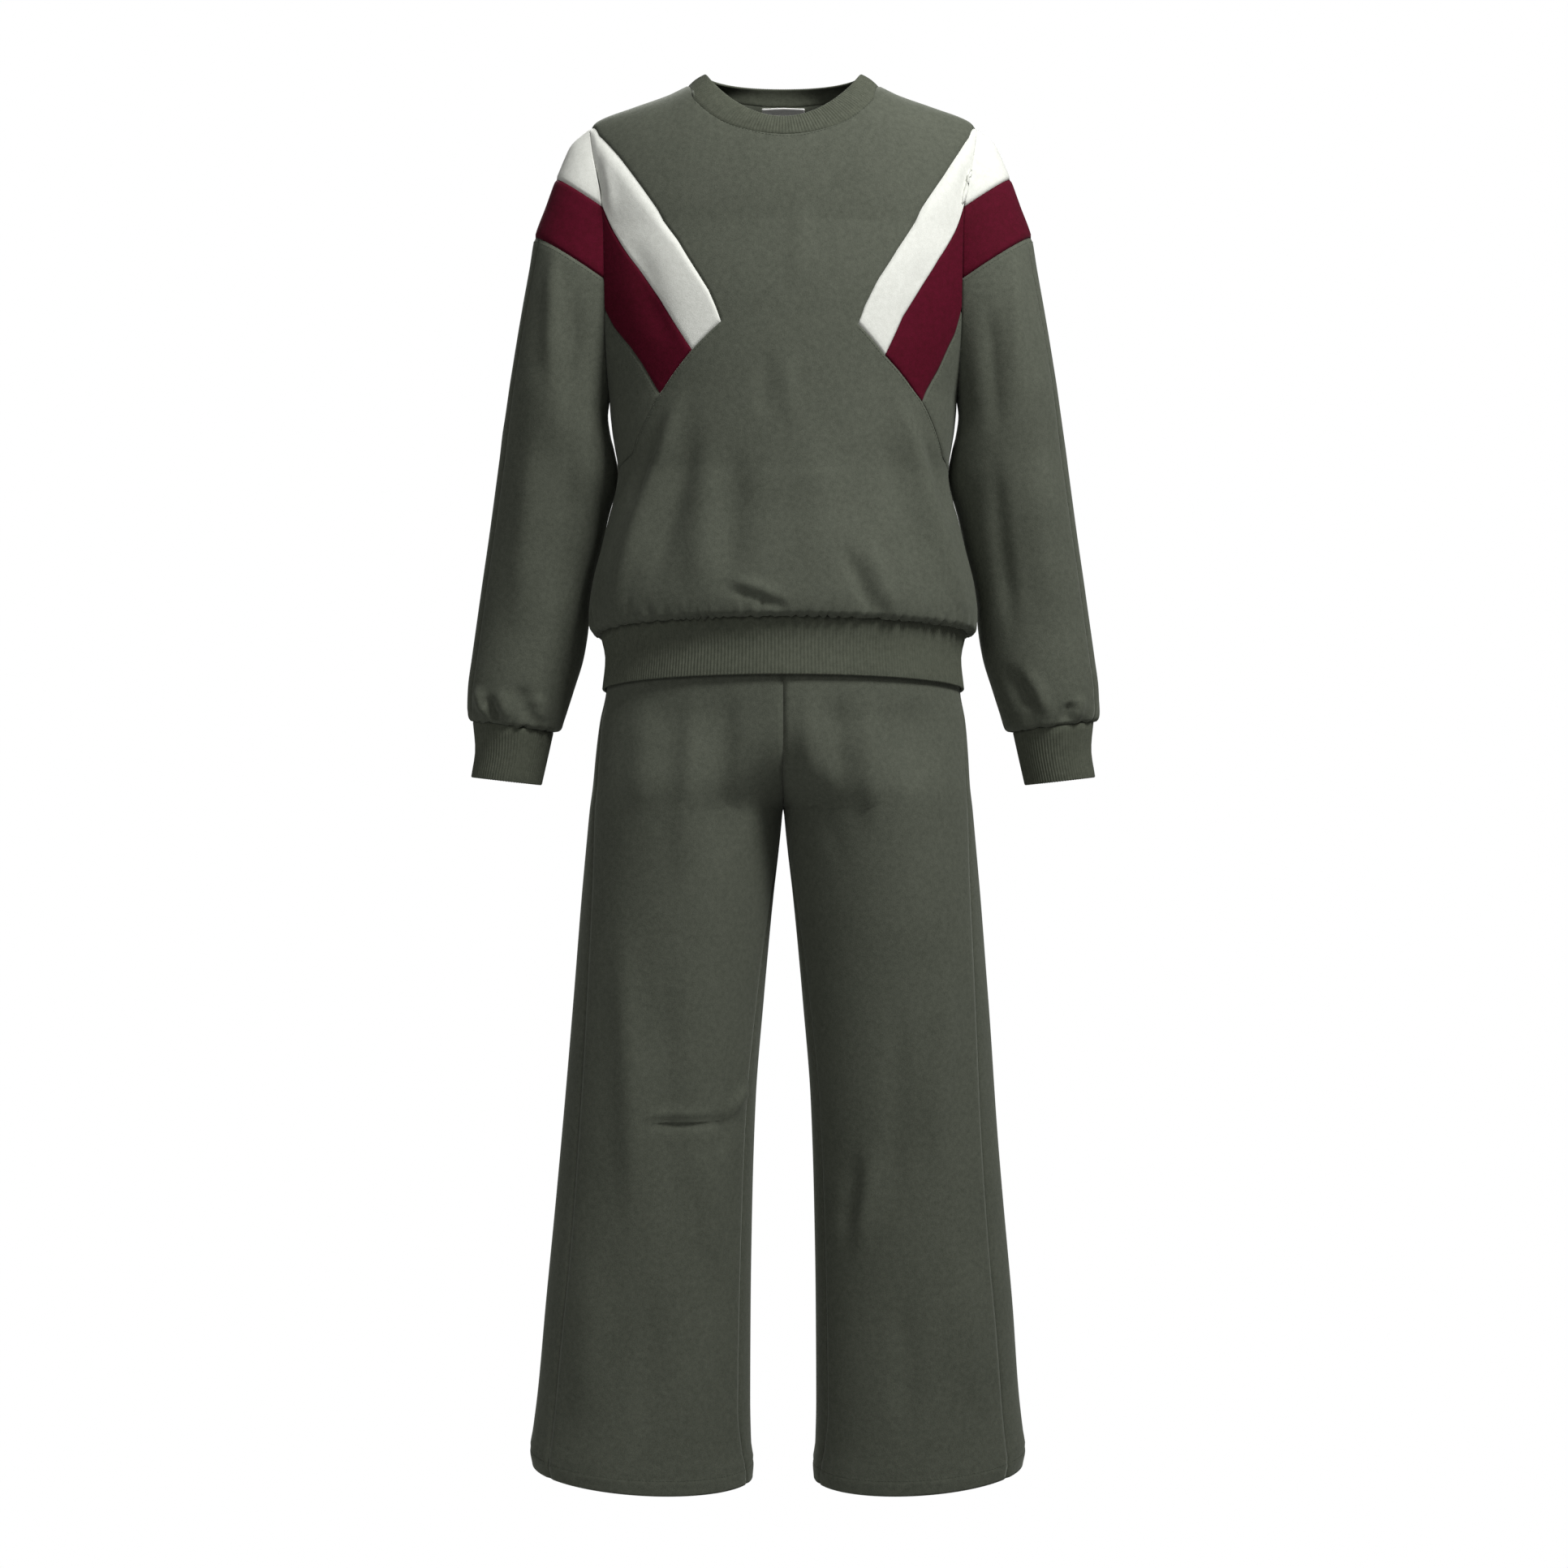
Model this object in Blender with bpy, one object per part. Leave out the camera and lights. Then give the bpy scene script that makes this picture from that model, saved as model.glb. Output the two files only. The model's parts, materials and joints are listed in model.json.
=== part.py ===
"""Sweatshirt and trousers, filled out as worn with no wearer.

Sizes are millimetres. X runs to the right as seen from the front, Y to the back
and Z up. The origin is where the wearer carries the set: on the shoulders, at the
middle of the neck base.
"""

import math

import bpy
import numpy as np

MM = 0.001

# Cloth
WALL = 1.8
RIB_WALL = 2.4
LABEL_WALL = 1.0
FOLDED_HEM_WALL = 3.0
SEAM_GAP = 0.3
TINY = 1e-6
MIRROR = np.array((-1.0, 1.0, 1.0))
SHOULDER_PLANE = np.array((1.0, 0.0, 1.0))

# Front view that the outlines below are measured in: they lie in the plane y = 0
# and shrink towards the eye's height for what stands nearer.
EYE_DISTANCE = 3000.0
EYE_HEIGHT = -689.0

# Heights
ROUND_START = -150.0
SLEEVE_WHITE_END = -128.5
SLEEVE_BURGUNDY_END = -199.6
BODY_BURGUNDY_END = -230.6
ARMPIT = -312.0
SLANT_END = -385.0
GATHER_START = -498.0
HEM_SEAM = -541.0
TURNED_UNDER = -545.0
HEM_BOTTOM = -597.0
WAIST_TOP = -404.0
WAIST_SEAM = -444.0
CROTCH = -714.0
LEG_HEM = -1364.0
LEG_HEM_STITCH = -1349.0

# Shoulder line: distance from the middle, height
SHOULDER = ((0, 6), (60, 4), (86, 0), (114, -12), (149, -24), (182, -36), (191, -44))
# Armhole: height, distance from the middle
ARMHOLE = ((-312, 171), (-260, 172.5), (-199.6, 173.5), (-150, 174.5), (-118, 177.5),
           (-72.6, 186.5), (-44, 191))
# Torso: height, half width, depth to the front, depth to the back
TORSO = (
    (TURNED_UNDER, 178, 116, 112),
    (HEM_SEAM, 186, 122, 116),
    (-536, 190, 127, 119),
    (-520, 191.2, 129, 120),
    (-498, 188.8, 128, 118),
    (-453, 178, 124, 112),
    (-428, 172.4, 121, 108),
    (-412, 168, 120, 106),
    (-396, 163, 119, 105),
    (-385, 161, 118, 105),
    (-375, 162.5, 118, 105),
    (-359, 166.5, 118, 105),
    (-340, 169, 118, 105),
    (-312, 171, 118, 106),
    (-230, 171, 117, 107),
    (-150, 171, 108, 108),
)
ROUND_DEPTH = 108.0
ROUND_SCALE = 100.0
# The hem hangs lower at the back than at the front
HEM_TILT = 11.0
HEM_TILT_START = -400.0

# Seams seen from the front: distance from the middle, height. The worn cloth has
# settled a little differently on its two sides.
NECK_SEAM = ((93.6, -4.8), (82.4, -18.4), (64, -32), (40, -41.6), (0, -46.4))
LEFT_SEAMS = {
    "white_top": ((182.4, -49.6), (171.2, -60.8), (163.2, -69.6), (148, -89.6),
                  (124, -123.2), (104.8, -152), (85.6, -183.2), (73.6, -202.4),
                  (66.4, -219.2), (61.6, -232.8)),
    "white_end": ((61.6, -232.8), (90.4, -260.8)),
    "white_bottom": ((163.2, -152), (144, -180.8), (124, -209.6), (104.8, -239.2),
                     (90.4, -260.8)),
    "burgundy_end": ((90.4, -260.8), (122.4, -304)),
    "burgundy_bottom": ((167.2, -239.2), (151.2, -258.4), (140, -274.4),
                        (126.4, -297.6), (122.4, -304)),
    "slant": ((122.4, -304), (136, -330.4), (144, -347.2), (149.6, -364.8)),
}
RIGHT_SEAMS = {
    "white_top": ((184, -51.2), (174.4, -65.6), (159.2, -88.8), (136.8, -121.6),
                  (113.6, -160.8), (93.6, -192), (80.8, -217.6), (74.4, -235.2)),
    "white_end": ((74.4, -235.2), (100.8, -266.4)),
    "white_bottom": ((170.4, -144), (153.6, -172), (136.8, -200.8), (119.2, -228.8),
                     (100.8, -266.4)),
    "burgundy_end": ((100.8, -266.4), (137.6, -312)),
    "burgundy_bottom": ((169.6, -246.4), (164, -257.6), (153.6, -280.8),
                        (137.6, -312)),
    "slant": ((137.6, -312), (147.2, -332), (153.6, -350.4), (158, -368)),
}
NECK_SHOULDER = 94.0
BACK_NECK_DROP = math.radians(26)

# Rows of the two body panels: cells in each, cells of each shoulder seam, the share
# of a row outside the neck, and how strongly row by row they bend with the neck
MAIN_CELLS = 12
SHOULDER_CELLS = 4
NECK_SHARE = 0.22
TOP_BEND = {
    -1: ((0, 1), (1, 0.45), (2, 0.21), (3, 0.10), (4, 0.04), (5, 0)),
    1: ((0, 1), (4, 0.75), (13, 0)),
}

# Heights of the armhole samples that the torso and the sleeve share
WHITE_STEPS = (-44, -48, -60, -82, -105, SLEEVE_WHITE_END)
BURGUNDY_STEPS = (-152, -176, SLEEVE_BURGUNDY_END, BODY_BURGUNDY_END)
SIDE_STEPS = (-254, -278, -298, -308, ARMPIT)
BAND_CELLS = 8
SLANT_CELLS = len(SIDE_STEPS)
LOWER_STEPS = (-408, -434, -466, GATHER_START)
GATHER_STEPS = (-520, -535, HEM_SEAM, TURNED_UNDER)

# Sleeve silhouette seen from the front: height, distance from the middle
SLEEVE_OUTER = ((-44, 191), (-60, 209), (-72, 215), (-84, 220), (-96, 225),
                (-120, 233.6), (-152, 245), (-180, 249.6), (-244, 260.8),
                (-308, 271.2), (-372, 281.6), (-436, 291.2), (-500, 300.8),
                (-564, 309.6), (-596, 313.4), (-612, 313.8), (-620, 313),
                (-625, 311), (-626.5, 308), (-627, 305))
SLEEVE_INNER = ((-312, 171), (-326, 172.8), (-345, 170.5), (-359, 167),
                (-385, 163), (-400, 166), (-412, 170), (-430, 175),
                (-453, 180), (-498, 190.5), (-536, 194),
                (-564, 198.5), (-596, 208), (-612, 213), (-626, 217.5),
                (-634, 220.5), (-637, 224), (-637.6, 231))
# Each sleeve section runs from a height on the inner side to one on the outer side
SLEEVE_SECTIONS = ((-44, -44), (SLEEVE_WHITE_END, -94), (SLEEVE_BURGUNDY_END, -152),
                   (BODY_BURGUNDY_END, -186), (ARMPIT, -288), (-385, -366),
                   (-453, -438), (-536, -522), (-596, -585), (-626, -616),
                   (-634, -623.5), (-637, -626), (-637.6, -627))
# Sleeve: inner height, half depth, middle behind the shoulder line
SLEEVE_DEPTH = (
    (-637.6, 36, 24),
    (-637, 40, 24),
    (-634, 43, 24),
    (-596, 50, 26),
    (-536, 55, 30),
    (-480, 58, 29),
    (-430, 60, 24),
    (-385, 61, 16),
    (-345, 61, 6),
    (-312, 60, 0),
    (-255, 60, 0),
    (-200, 57, 0),
    (-150, 52, 0),
)
SLEEVE_TUBE_STEPS = (-326, -345, -385, -420, -453, -495, -536, -570, -600, -622, -634,
                     -637, -637.6)
OVERARM = math.radians(28)
OVERARM_FROM = math.radians(112)
OVERARM_SHARE = -0.25
FRONT_SLEEVE_CELLS = 6
BACK_SLEEVE_CELLS = 8
UNDERARM_POWER = 0.6

# Cuff: share of its length, inner x, inner z, outer x, outer z, half depth
CUFF = (
    (0.0, 228.4, -638.6, 308.2, -627.9, 39),
    (0.5, 234, -664, 306, -654, 35),
    (1.0, 240, -690.4, 310, -682.4, 34),
)
CUFF_MIDDLE_Y = 24.0
CUFF_COLUMNS = 32
CUFF_ROWS = 2

# Hem band: share of its height, half width, depth front, depth back
HEM_BAND = (
    (0.0, 180.4, 118.4, 114.4),
    (0.45, 175.4, 114.5, 110.5),
    (1.0, 178.4, 117.4, 113.4),
)
HEM_BAND_TOP = HEM_SEAM - SEAM_GAP
HEM_BAND_COLUMNS = 64
HEM_BAND_ROWS = 2
HEM_BAND_TILT = 12.0

# Collar
COLLAR_TOP_HALF_WIDTH = 76.0
COLLAR_TOP_FRONT = -84.0
COLLAR_TOP_BACK = 41.0
COLLAR_TOP_SIDE_HEIGHT = 5.5
COLLAR_TOP_DIP = 53.5
COLLAR_DIP_POWER = 1.7
NECK_CELLS = 20
COLLAR_ROWS = 2

# Label
LABEL_HALF_WIDTH = 21.5
LABEL_HEIGHT = 38.0
LABEL_CELLS = 4
LABEL_GAP = 2.1

# Trousers: height, outer x, inner x, half depth front, half depth back
LEG = (
    (LEG_HEM, 247, 30, 84, 82),
    (LEG_HEM_STITCH, 249.4, 29, 85, 83),
    (-1330, 246.5, 31.5, 84, 82),
    (-1290, 241.5, 32.4, 83, 82),
    (-1200, 233.5, 32, 82, 84),
    (-1100, 224, 30.4, 82, 86),
    (-1000, 215, 27, 85, 89),
    (-900, 206.5, 19, 89, 95),
    (-800, 198.5, 9.6, 95, 103),
    (-756, 194.5, 4.5, 98, 107),
    (-724, 191.5, 1.2, 101, 110),
    (-714, 190.5, 0.4, 102, 110),
    (-692, 187.5, 0, 106, 111),
    (-660, 184.5, 0, 108, 111),
    (-628, 180.5, 0, 111, 110),
    (-600, 174.5, 0, 112, 108.5),
    (-580, 172.5, 0, 111.5, 107.5),
    (-555, 172, 0, 111, 107),
    (-500, 156, 0, 101, 100),
    (-444, 136, 0, 92, 92),
)
# The right leg hangs a little narrower: height, how much
RIGHT_LEG_NARROWER = ((LEG_HEM, 11), (-1300, 10), (-1200, 8), (-1050, 7), (-900, 4.5),
                      (-724, 4), (-600, 0))
LEG_STEPS = (-444, -500, -555, -580, -600, -628, -650, -670, -686, -698, -707, -714, -724,
             -756, -800, -870, -950, -1030, -1110, -1190, -1260, -1320, LEG_HEM_STITCH, LEG_HEM)
RISE_BLEND = 95.0
RISE_POWER = 1.5
# Leg seams as angles round the leg from its outermost line: height, outer, inner
LEG_SEAMS = (
    (LEG_HEM, 36, 162),
    (-1330, 36, 158),
    (-1290, 36, 154),
    (-1160, 38, 155),
    (-1000, 36, 157),
    (-880, 32, 161),
    (-790, 28, 170),
    (-714, 20, 180),
    (-650, 12, 180),
    (-600, 6, 180),
    (-444, 4, 180),
)
LEG_FRONT_CELLS = 7
LEG_BACK_CELLS = 10
# How far the leg hem's outer and front points differ from its height
HEM_OUTER_RISE = 7.0
HEM_FRONT_DROP = 7.0
HEM_SWEEP_START = -1000.0

# Waistband: half width, half depth
WAISTBAND = (136.0, 92.0)
WAISTBAND_COLUMNS = 32

# Folds end this far above the hem seam
FOLD_CLEAR = 16.0
# Soft folds of the sweatshirt's front, right half, seen from the front:
# start x, start z, end x, end z, half width, height (below zero for a trough)
BODY_FOLDS = (
    (96, -284, 124, -364, 9, -3.0),
    (106, -300, 140, -430, 11, 4.0),
    (140, -430, 168, -520, 13, 3.0),
    (66, -470, 86, -526, 10, -3.0),
    (30, -480, 8, -526, 9, 2.5),
)
# The same for the back, hidden, so softer
BACK_FOLDS = (
    (120, -330, 150, -450, 14, 3.0),
    (60, -430, 84, -526, 12, -2.5),
)
# Sleeve folds: side (-1 front, 1 back), angle, from height, to height, half width, height
SLEEVE_FOLDS = (
    (-62, -170, -330, 8, 2.2),
    (-100, -330, -470, 12, -2.5),
    (-60, -560, -622, 9, 3.0),
    (-120, -585, -628, 8, -2.5),
    (-150, -360, -500, 12, 2.5),
    (80, -300, -460, 13, 2.5),
    (110, -540, -622, 10, -2.5),
)
# Leg folds: angle, from height, to height, half width, height
LEG_FOLDS = (
    (100, -890, -1180, 12, 2.2),
    (125, -1000, -1160, 10, -2.4),
    (70, -640, -760, 12, -2.0),
    (-70, -700, -1000, 14, -2.5),
    (-110, -1000, -1300, 14, 2.5),
)
# Gathers at the hem seam: cells round one panel, depth
GATHERS = 20
GATHER_DEPTH = 2.0
GATHER_CELLS_EACH = 3

# Colours
GREEN = (0.075, 0.083, 0.063)
GREEN_RIB = (0.062, 0.070, 0.052)
BURGUNDY = (0.085, 0.006, 0.016)
WHITE = (0.80, 0.79, 0.75)
LABEL_WHITE = (0.72, 0.72, 0.70)


# Tables and curves
def smooth(share):
    share = min(1.0, max(0.0, share))
    return share * share * (3 - 2 * share)


def slopes_of(places, values):
    """Slopes for a curve that never swings past the table's values."""
    steps = np.diff(values) / np.diff(places)
    slopes = np.zeros(len(places))
    slopes[0] = steps[0]
    slopes[-1] = steps[-1]
    for index in range(1, len(places) - 1):
        before = steps[index - 1]
        after = steps[index]
        if before * after > 0:
            slopes[index] = 2 * before * after / (before + after)
    return slopes


def from_table(table, place, column=1):
    """Smooth value of a column at a place in the first column."""
    rows = sorted(table)
    places = np.array([row[0] for row in rows], float)
    values = np.array([row[column] for row in rows], float)
    place = min(places[-1], max(places[0], place))
    index = int(min(len(places) - 2, np.searchsorted(places, place, side="right") - 1))
    slopes = slopes_of(places, values)
    width = places[index + 1] - places[index]
    share = (place - places[index]) / width
    squared = share * share
    cubed = squared * share
    return (
        (2 * cubed - 3 * squared + 1) * values[index]
        + (cubed - 2 * squared + share) * width * slopes[index]
        + (3 * squared - 2 * cubed) * values[index + 1]
        + (cubed - squared) * width * slopes[index + 1]
    )


def unit(vector):
    return vector / max(TINY, np.linalg.norm(vector))


def along(points, cells):
    """Evenly spaced points on a polyline."""
    points = np.array(points, float)
    lengths = np.r_[0, np.cumsum(np.linalg.norm(np.diff(points, axis=0), axis=1))]
    wanted = np.linspace(0, lengths[-1], cells + 1)
    columns = [np.interp(wanted, lengths, points[:, axis]) for axis in range(2)]
    return np.column_stack(columns)


# Torso
def shoulder_height(x):
    return from_table(SHOULDER, abs(x))


def arm_angle(z):
    """How far round the sleeve its section reaches before it meets the armhole."""
    if z >= ROUND_START:
        half = ROUND_WIDTH_HALF_DEPTH * round_share(z)
        return math.asin(min(1.0, half))
    if z <= ARMPIT:
        return math.pi
    share = (z - ARMPIT) / (ROUND_START - ARMPIT)
    return math.pi - math.pi / 2 * share ** UNDERARM_POWER


def round_share(z):
    """Half depth of the armhole over the shoulder, as a share of its depth below."""
    x = from_table(ARMHOLE, z)
    rise = (z - ROUND_START) / (shoulder_height(x) - ROUND_START)
    reach = math.sqrt(max(0.0, 1 - rise * rise))
    return reach * math.sqrt(max(0.0, 1 - (x / ROUND_WIDTH) ** 2))


ARM_HALF_DEPTH = from_table(SLEEVE_DEPTH, ROUND_START)
ARMHOLE_AT_ROUND = from_table(ARMHOLE, ROUND_START)
ROUND_WIDTH = ARMHOLE_AT_ROUND / math.sqrt(1 - (ARM_HALF_DEPTH / ROUND_DEPTH) ** 2)
ROUND_WIDTH_HALF_DEPTH = ROUND_DEPTH / ARM_HALF_DEPTH


def half_width(z, depth):
    if z >= ROUND_START:
        return ROUND_WIDTH
    if z <= ARMPIT:
        return from_table(TORSO, z)
    half = from_table(SLEEVE_DEPTH, z) * math.sin(arm_angle(z))
    return from_table(ARMHOLE, z) / math.sqrt(1 - (half / depth) ** 2)


def torso(side, around, up):
    """Point of the torso: side -1 front or 1 back, angle from the middle, chart height."""
    column = 2 if side < 0 else 3
    if up > 0:
        rise = up / ROUND_SCALE
        x = ROUND_WIDTH * math.sin(around)
        z = ROUND_START + (shoulder_height(x) - ROUND_START) * math.sin(rise)
        return np.array((x, side * ROUND_DEPTH * math.cos(around) * math.cos(rise), z))
    z = ROUND_START + up
    depth = from_table(TORSO, z, column)
    tilt = HEM_TILT * smooth((HEM_TILT_START - z) / (HEM_TILT_START - HEM_SEAM))
    x = half_width(z, depth) * math.sin(around)
    z = max(z, HEM_SEAM) - side * tilt * math.cos(around)
    return np.array((x, side * depth * math.cos(around), z))


def chart(side, x, z):
    """Angle and chart height of the torso point at x and z."""
    if z > ROUND_START:
        rise = (z - ROUND_START) / (shoulder_height(x) - ROUND_START)
        up = ROUND_SCALE * math.asin(min(1.0, rise))
        return math.asin(max(-1.0, min(1.0, x / ROUND_WIDTH))), up
    depth = from_table(TORSO, z, 2 if side < 0 else 3)
    share = x / half_width(z, depth)
    return math.asin(max(-1.0, min(1.0, share))), z - ROUND_START


def seen_from_front(x, z):
    """Chart place of the front point that shows at x and z in the front view."""
    y = 0.0
    place = chart(-1, x, z)
    for _ in range(12):
        near = (EYE_DISTANCE + y) / EYE_DISTANCE
        place = chart(-1, x * near, EYE_HEIGHT + (z - EYE_HEIGHT) * near)
        y = 0.5 * y + 0.5 * torso(-1, *place)[1]
    return place


def at_armhole(side, z):
    x = from_table(ARMHOLE, z)
    if z > SHOULDER[-1][1] - TINY:
        return math.asin(x / ROUND_WIDTH), ROUND_SCALE * math.pi / 2
    return chart(side, x, z)


def fold_height(point, folds):
    """Height of the soft folds at a point of the right or left half."""
    height = 0.0
    near = (EYE_DISTANCE + point[1]) / EYE_DISTANCE
    place = np.array((abs(point[0]) / near, (point[2] - EYE_HEIGHT) / near + EYE_HEIGHT))
    for start_x, start_z, end_x, end_z, width, rise in folds:
        start = np.array((start_x, start_z), float)
        line = np.array((end_x, end_z), float) - start
        share = float(np.dot(place - start, line) / np.dot(line, line))
        nearest = start + line * min(1.0, max(0.0, share))
        away = np.linalg.norm(place - nearest) / width
        fade = smooth(4 * (share + 0.1)) * smooth(4 * (1.1 - share))
        height += rise * math.exp(-away * away) * fade
    return height


def gather_height(around, z):
    """Small uneven gathers that fade out above the hem seam."""
    share = (GATHER_START - z) / (GATHER_START - HEM_SEAM)
    if share <= 0 or z < HEM_SEAM + 1:
        return 0.0
    turns = GATHERS * (around / math.pi + 0.5)
    uneven = 0.7 + 0.3 * math.sin(2.3 * turns + 1.0)
    return -GATHER_DEPTH * uneven * smooth(share) * math.sin(math.pi * turns) ** 2


def torso_skin(side, place):
    """Outer point and outward direction of the torso at a chart place."""
    around, up = place
    step = 1e-3
    up = min(up, ROUND_SCALE * math.pi / 2)
    across = torso(side, around + step, up) - torso(side, around - step, up)
    if up + 0.5 < ROUND_SCALE * math.pi / 2:
        rise = torso(side, around, up + 0.5) - torso(side, around, up - 0.5)
    else:
        rise = torso(side, around, up) - torso(side, around, up - 1.0)
    if ROUND_START + up < HEM_SEAM:
        rise = torso(side, around, up + 0.5) - torso(side, around, up)
    normal = unit(np.cross(across, rise) * -side)
    if up > ROUND_SCALE * math.pi / 2 - TINY:
        normal = unit(normal * SHOULDER_PLANE)
    point = torso(side, around, up)
    folds = BODY_FOLDS if side < 0 else BACK_FOLDS
    above_seam = smooth((ROUND_START + up - HEM_SEAM) / FOLD_CLEAR)
    height = fold_height(point, folds) * above_seam
    height += gather_height(around, ROUND_START + up)
    return point + normal * height, normal


# Sleeve, right arm
def sleeve(angle, inner_z):
    """Point of the sleeve: angle from its outermost line, to the front below zero."""
    outer_z = from_table(SLEEVE_SECTIONS, inner_z)
    outer = np.array((from_table(SLEEVE_OUTER, outer_z), outer_z))
    table = ARMHOLE if inner_z > ARMPIT else SLEEVE_INNER
    inner = np.array((from_table(table, inner_z), inner_z))
    reach = np.linalg.norm(outer - inner)
    along_section = (outer - inner) / max(reach, TINY)
    half = reach / max(TINY, 1 - math.cos(arm_angle(inner_z)))
    middle = outer - along_section * half
    flat = middle + along_section * half * math.cos(angle)
    depth = from_table(SLEEVE_DEPTH, inner_z)
    y = from_table(SLEEVE_DEPTH, inner_z, 2) + depth * math.sin(angle)
    return np.array((flat[0], y, flat[1]))


def sleeve_angle(share, inner_z):
    """Angle at a share round the sleeve: -1 and 1 underarm or armhole."""
    reach = arm_angle(inner_z)
    overarm = -OVERARM * min(1.0, reach / OVERARM_FROM)
    if share < OVERARM_SHARE:
        part = (share + 1) / (1 + OVERARM_SHARE)
        return -reach + (overarm + reach) * part
    part = (share - OVERARM_SHARE) / (1 - OVERARM_SHARE)
    return overarm + (reach - overarm) * part


def sleeve_skin(share, inner_z):
    height = min(inner_z, WHITE_STEPS[1])
    angle = sleeve_angle(share, height)
    point = sleeve(sleeve_angle(share, inner_z), inner_z)
    around = sleeve(angle + 1e-2, height) - sleeve(angle - 1e-2, height)
    step = 0.2
    lower = max(height - step, SLEEVE_TUBE_STEPS[-1])
    down = sleeve(angle, lower) - sleeve(angle, lower + step)
    normal = unit(np.cross(down, around))
    rise = 0.0
    for fold_angle, top, bottom, width, fold in SLEEVE_FOLDS:
        away = math.degrees(angle) - fold_angle
        part = (top - inner_z) / (top - bottom)
        if 0 < part < 1:
            fade = smooth(4 * part) * smooth(4 * (1 - part))
            rise += fold * math.exp(-(away / width) ** 2) * fade
    return point + normal * rise, normal


# Trousers, right leg
def leg(angle, z, half_name):
    """Point of the trousers: angle from the outermost line, to the front above zero."""
    outer = from_table(LEG, z)
    if half_name == "right":
        outer -= from_table(RIGHT_LEG_NARROWER, z)
    inner = from_table(LEG, z, 2)
    if z >= CROTCH:
        share = leg_share(z)
        half = outer / (1 + share)
        middle = share * half
    else:
        half = (outer - inner) / 2
        middle = (outer + inner) / 2
    depth = from_table(LEG, z, 3 if math.sin(angle) > 0 else 4)
    sweep = smooth((HEM_SWEEP_START - z) / (HEM_SWEEP_START - LEG_HEM))
    drop = HEM_OUTER_RISE * math.cos(angle) - HEM_FRONT_DROP * max(0, math.sin(angle))
    x = middle + half * math.cos(angle)
    return np.array((x, -depth * math.sin(angle), z + sweep * drop))


def leg_share(z):
    """How far the two legs have parted: 0 at the hip and 1 at the crotch."""
    above = (z - CROTCH) / RISE_BLEND
    return max(0.0, 1 - above) ** RISE_POWER if above > 0 else 1.0


def leg_edges(z):
    """Angles of the outer seam, the front's inner edge and the back's inner edge."""
    outer = math.radians(from_table(LEG_SEAMS, z))
    if z >= CROTCH:
        middle = math.acos(-leg_share(z))
        return outer, middle, -middle
    inner = math.radians(from_table(LEG_SEAMS, z, 2))
    return outer, inner, inner - 2 * math.pi


def leg_skin(angle, z, half_name):
    step = 1e-2
    around = leg(angle + step, z, half_name) - leg(angle - step, z, half_name)
    high = min(z + 0.5, WAIST_SEAM)
    low = max(z - 0.5, LEG_HEM)
    down = leg(angle, low, half_name) - leg(angle, high, half_name)
    normal = unit(np.cross(around, down))
    if z >= CROTCH - 12:
        normal = unit(np.array((normal[0], normal[1], 0.0)))
    point = leg(angle, z, half_name)
    rise = 0.0
    turned = math.degrees(math.atan2(math.sin(angle), math.cos(angle)))
    for fold_angle, top, bottom, width, fold in LEG_FOLDS:
        part = (top - z) / (top - bottom)
        if 0 < part < 1:
            fade = smooth(3 * part) * smooth(3 * (1 - part))
            rise += fold * math.exp(-((turned - fold_angle) / width) ** 2) * fade
    return point + normal * rise, normal


# Meshes
def strip_between(upper, lower):
    """Triangles between two rows, each a list of (share, index)."""
    faces = []
    first = 0
    second = 0
    while first < len(upper) - 1 or second < len(lower) - 1:
        can_first = first < len(upper) - 1
        can_second = second < len(lower) - 1
        take_first = can_first
        if can_first and can_second:
            take_first = upper[first + 1][0] <= lower[second + 1][0] + TINY
        if take_first:
            faces.append((upper[first][1], lower[second][1], upper[first + 1][1]))
            first += 1
        else:
            faces.append((upper[first][1], lower[second][1], lower[second + 1][1]))
            second += 1
    return faces


def turned_over(face):
    """The face looking the other way, split along the same diagonal."""
    return (face[0],) + face[:0:-1]


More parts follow.
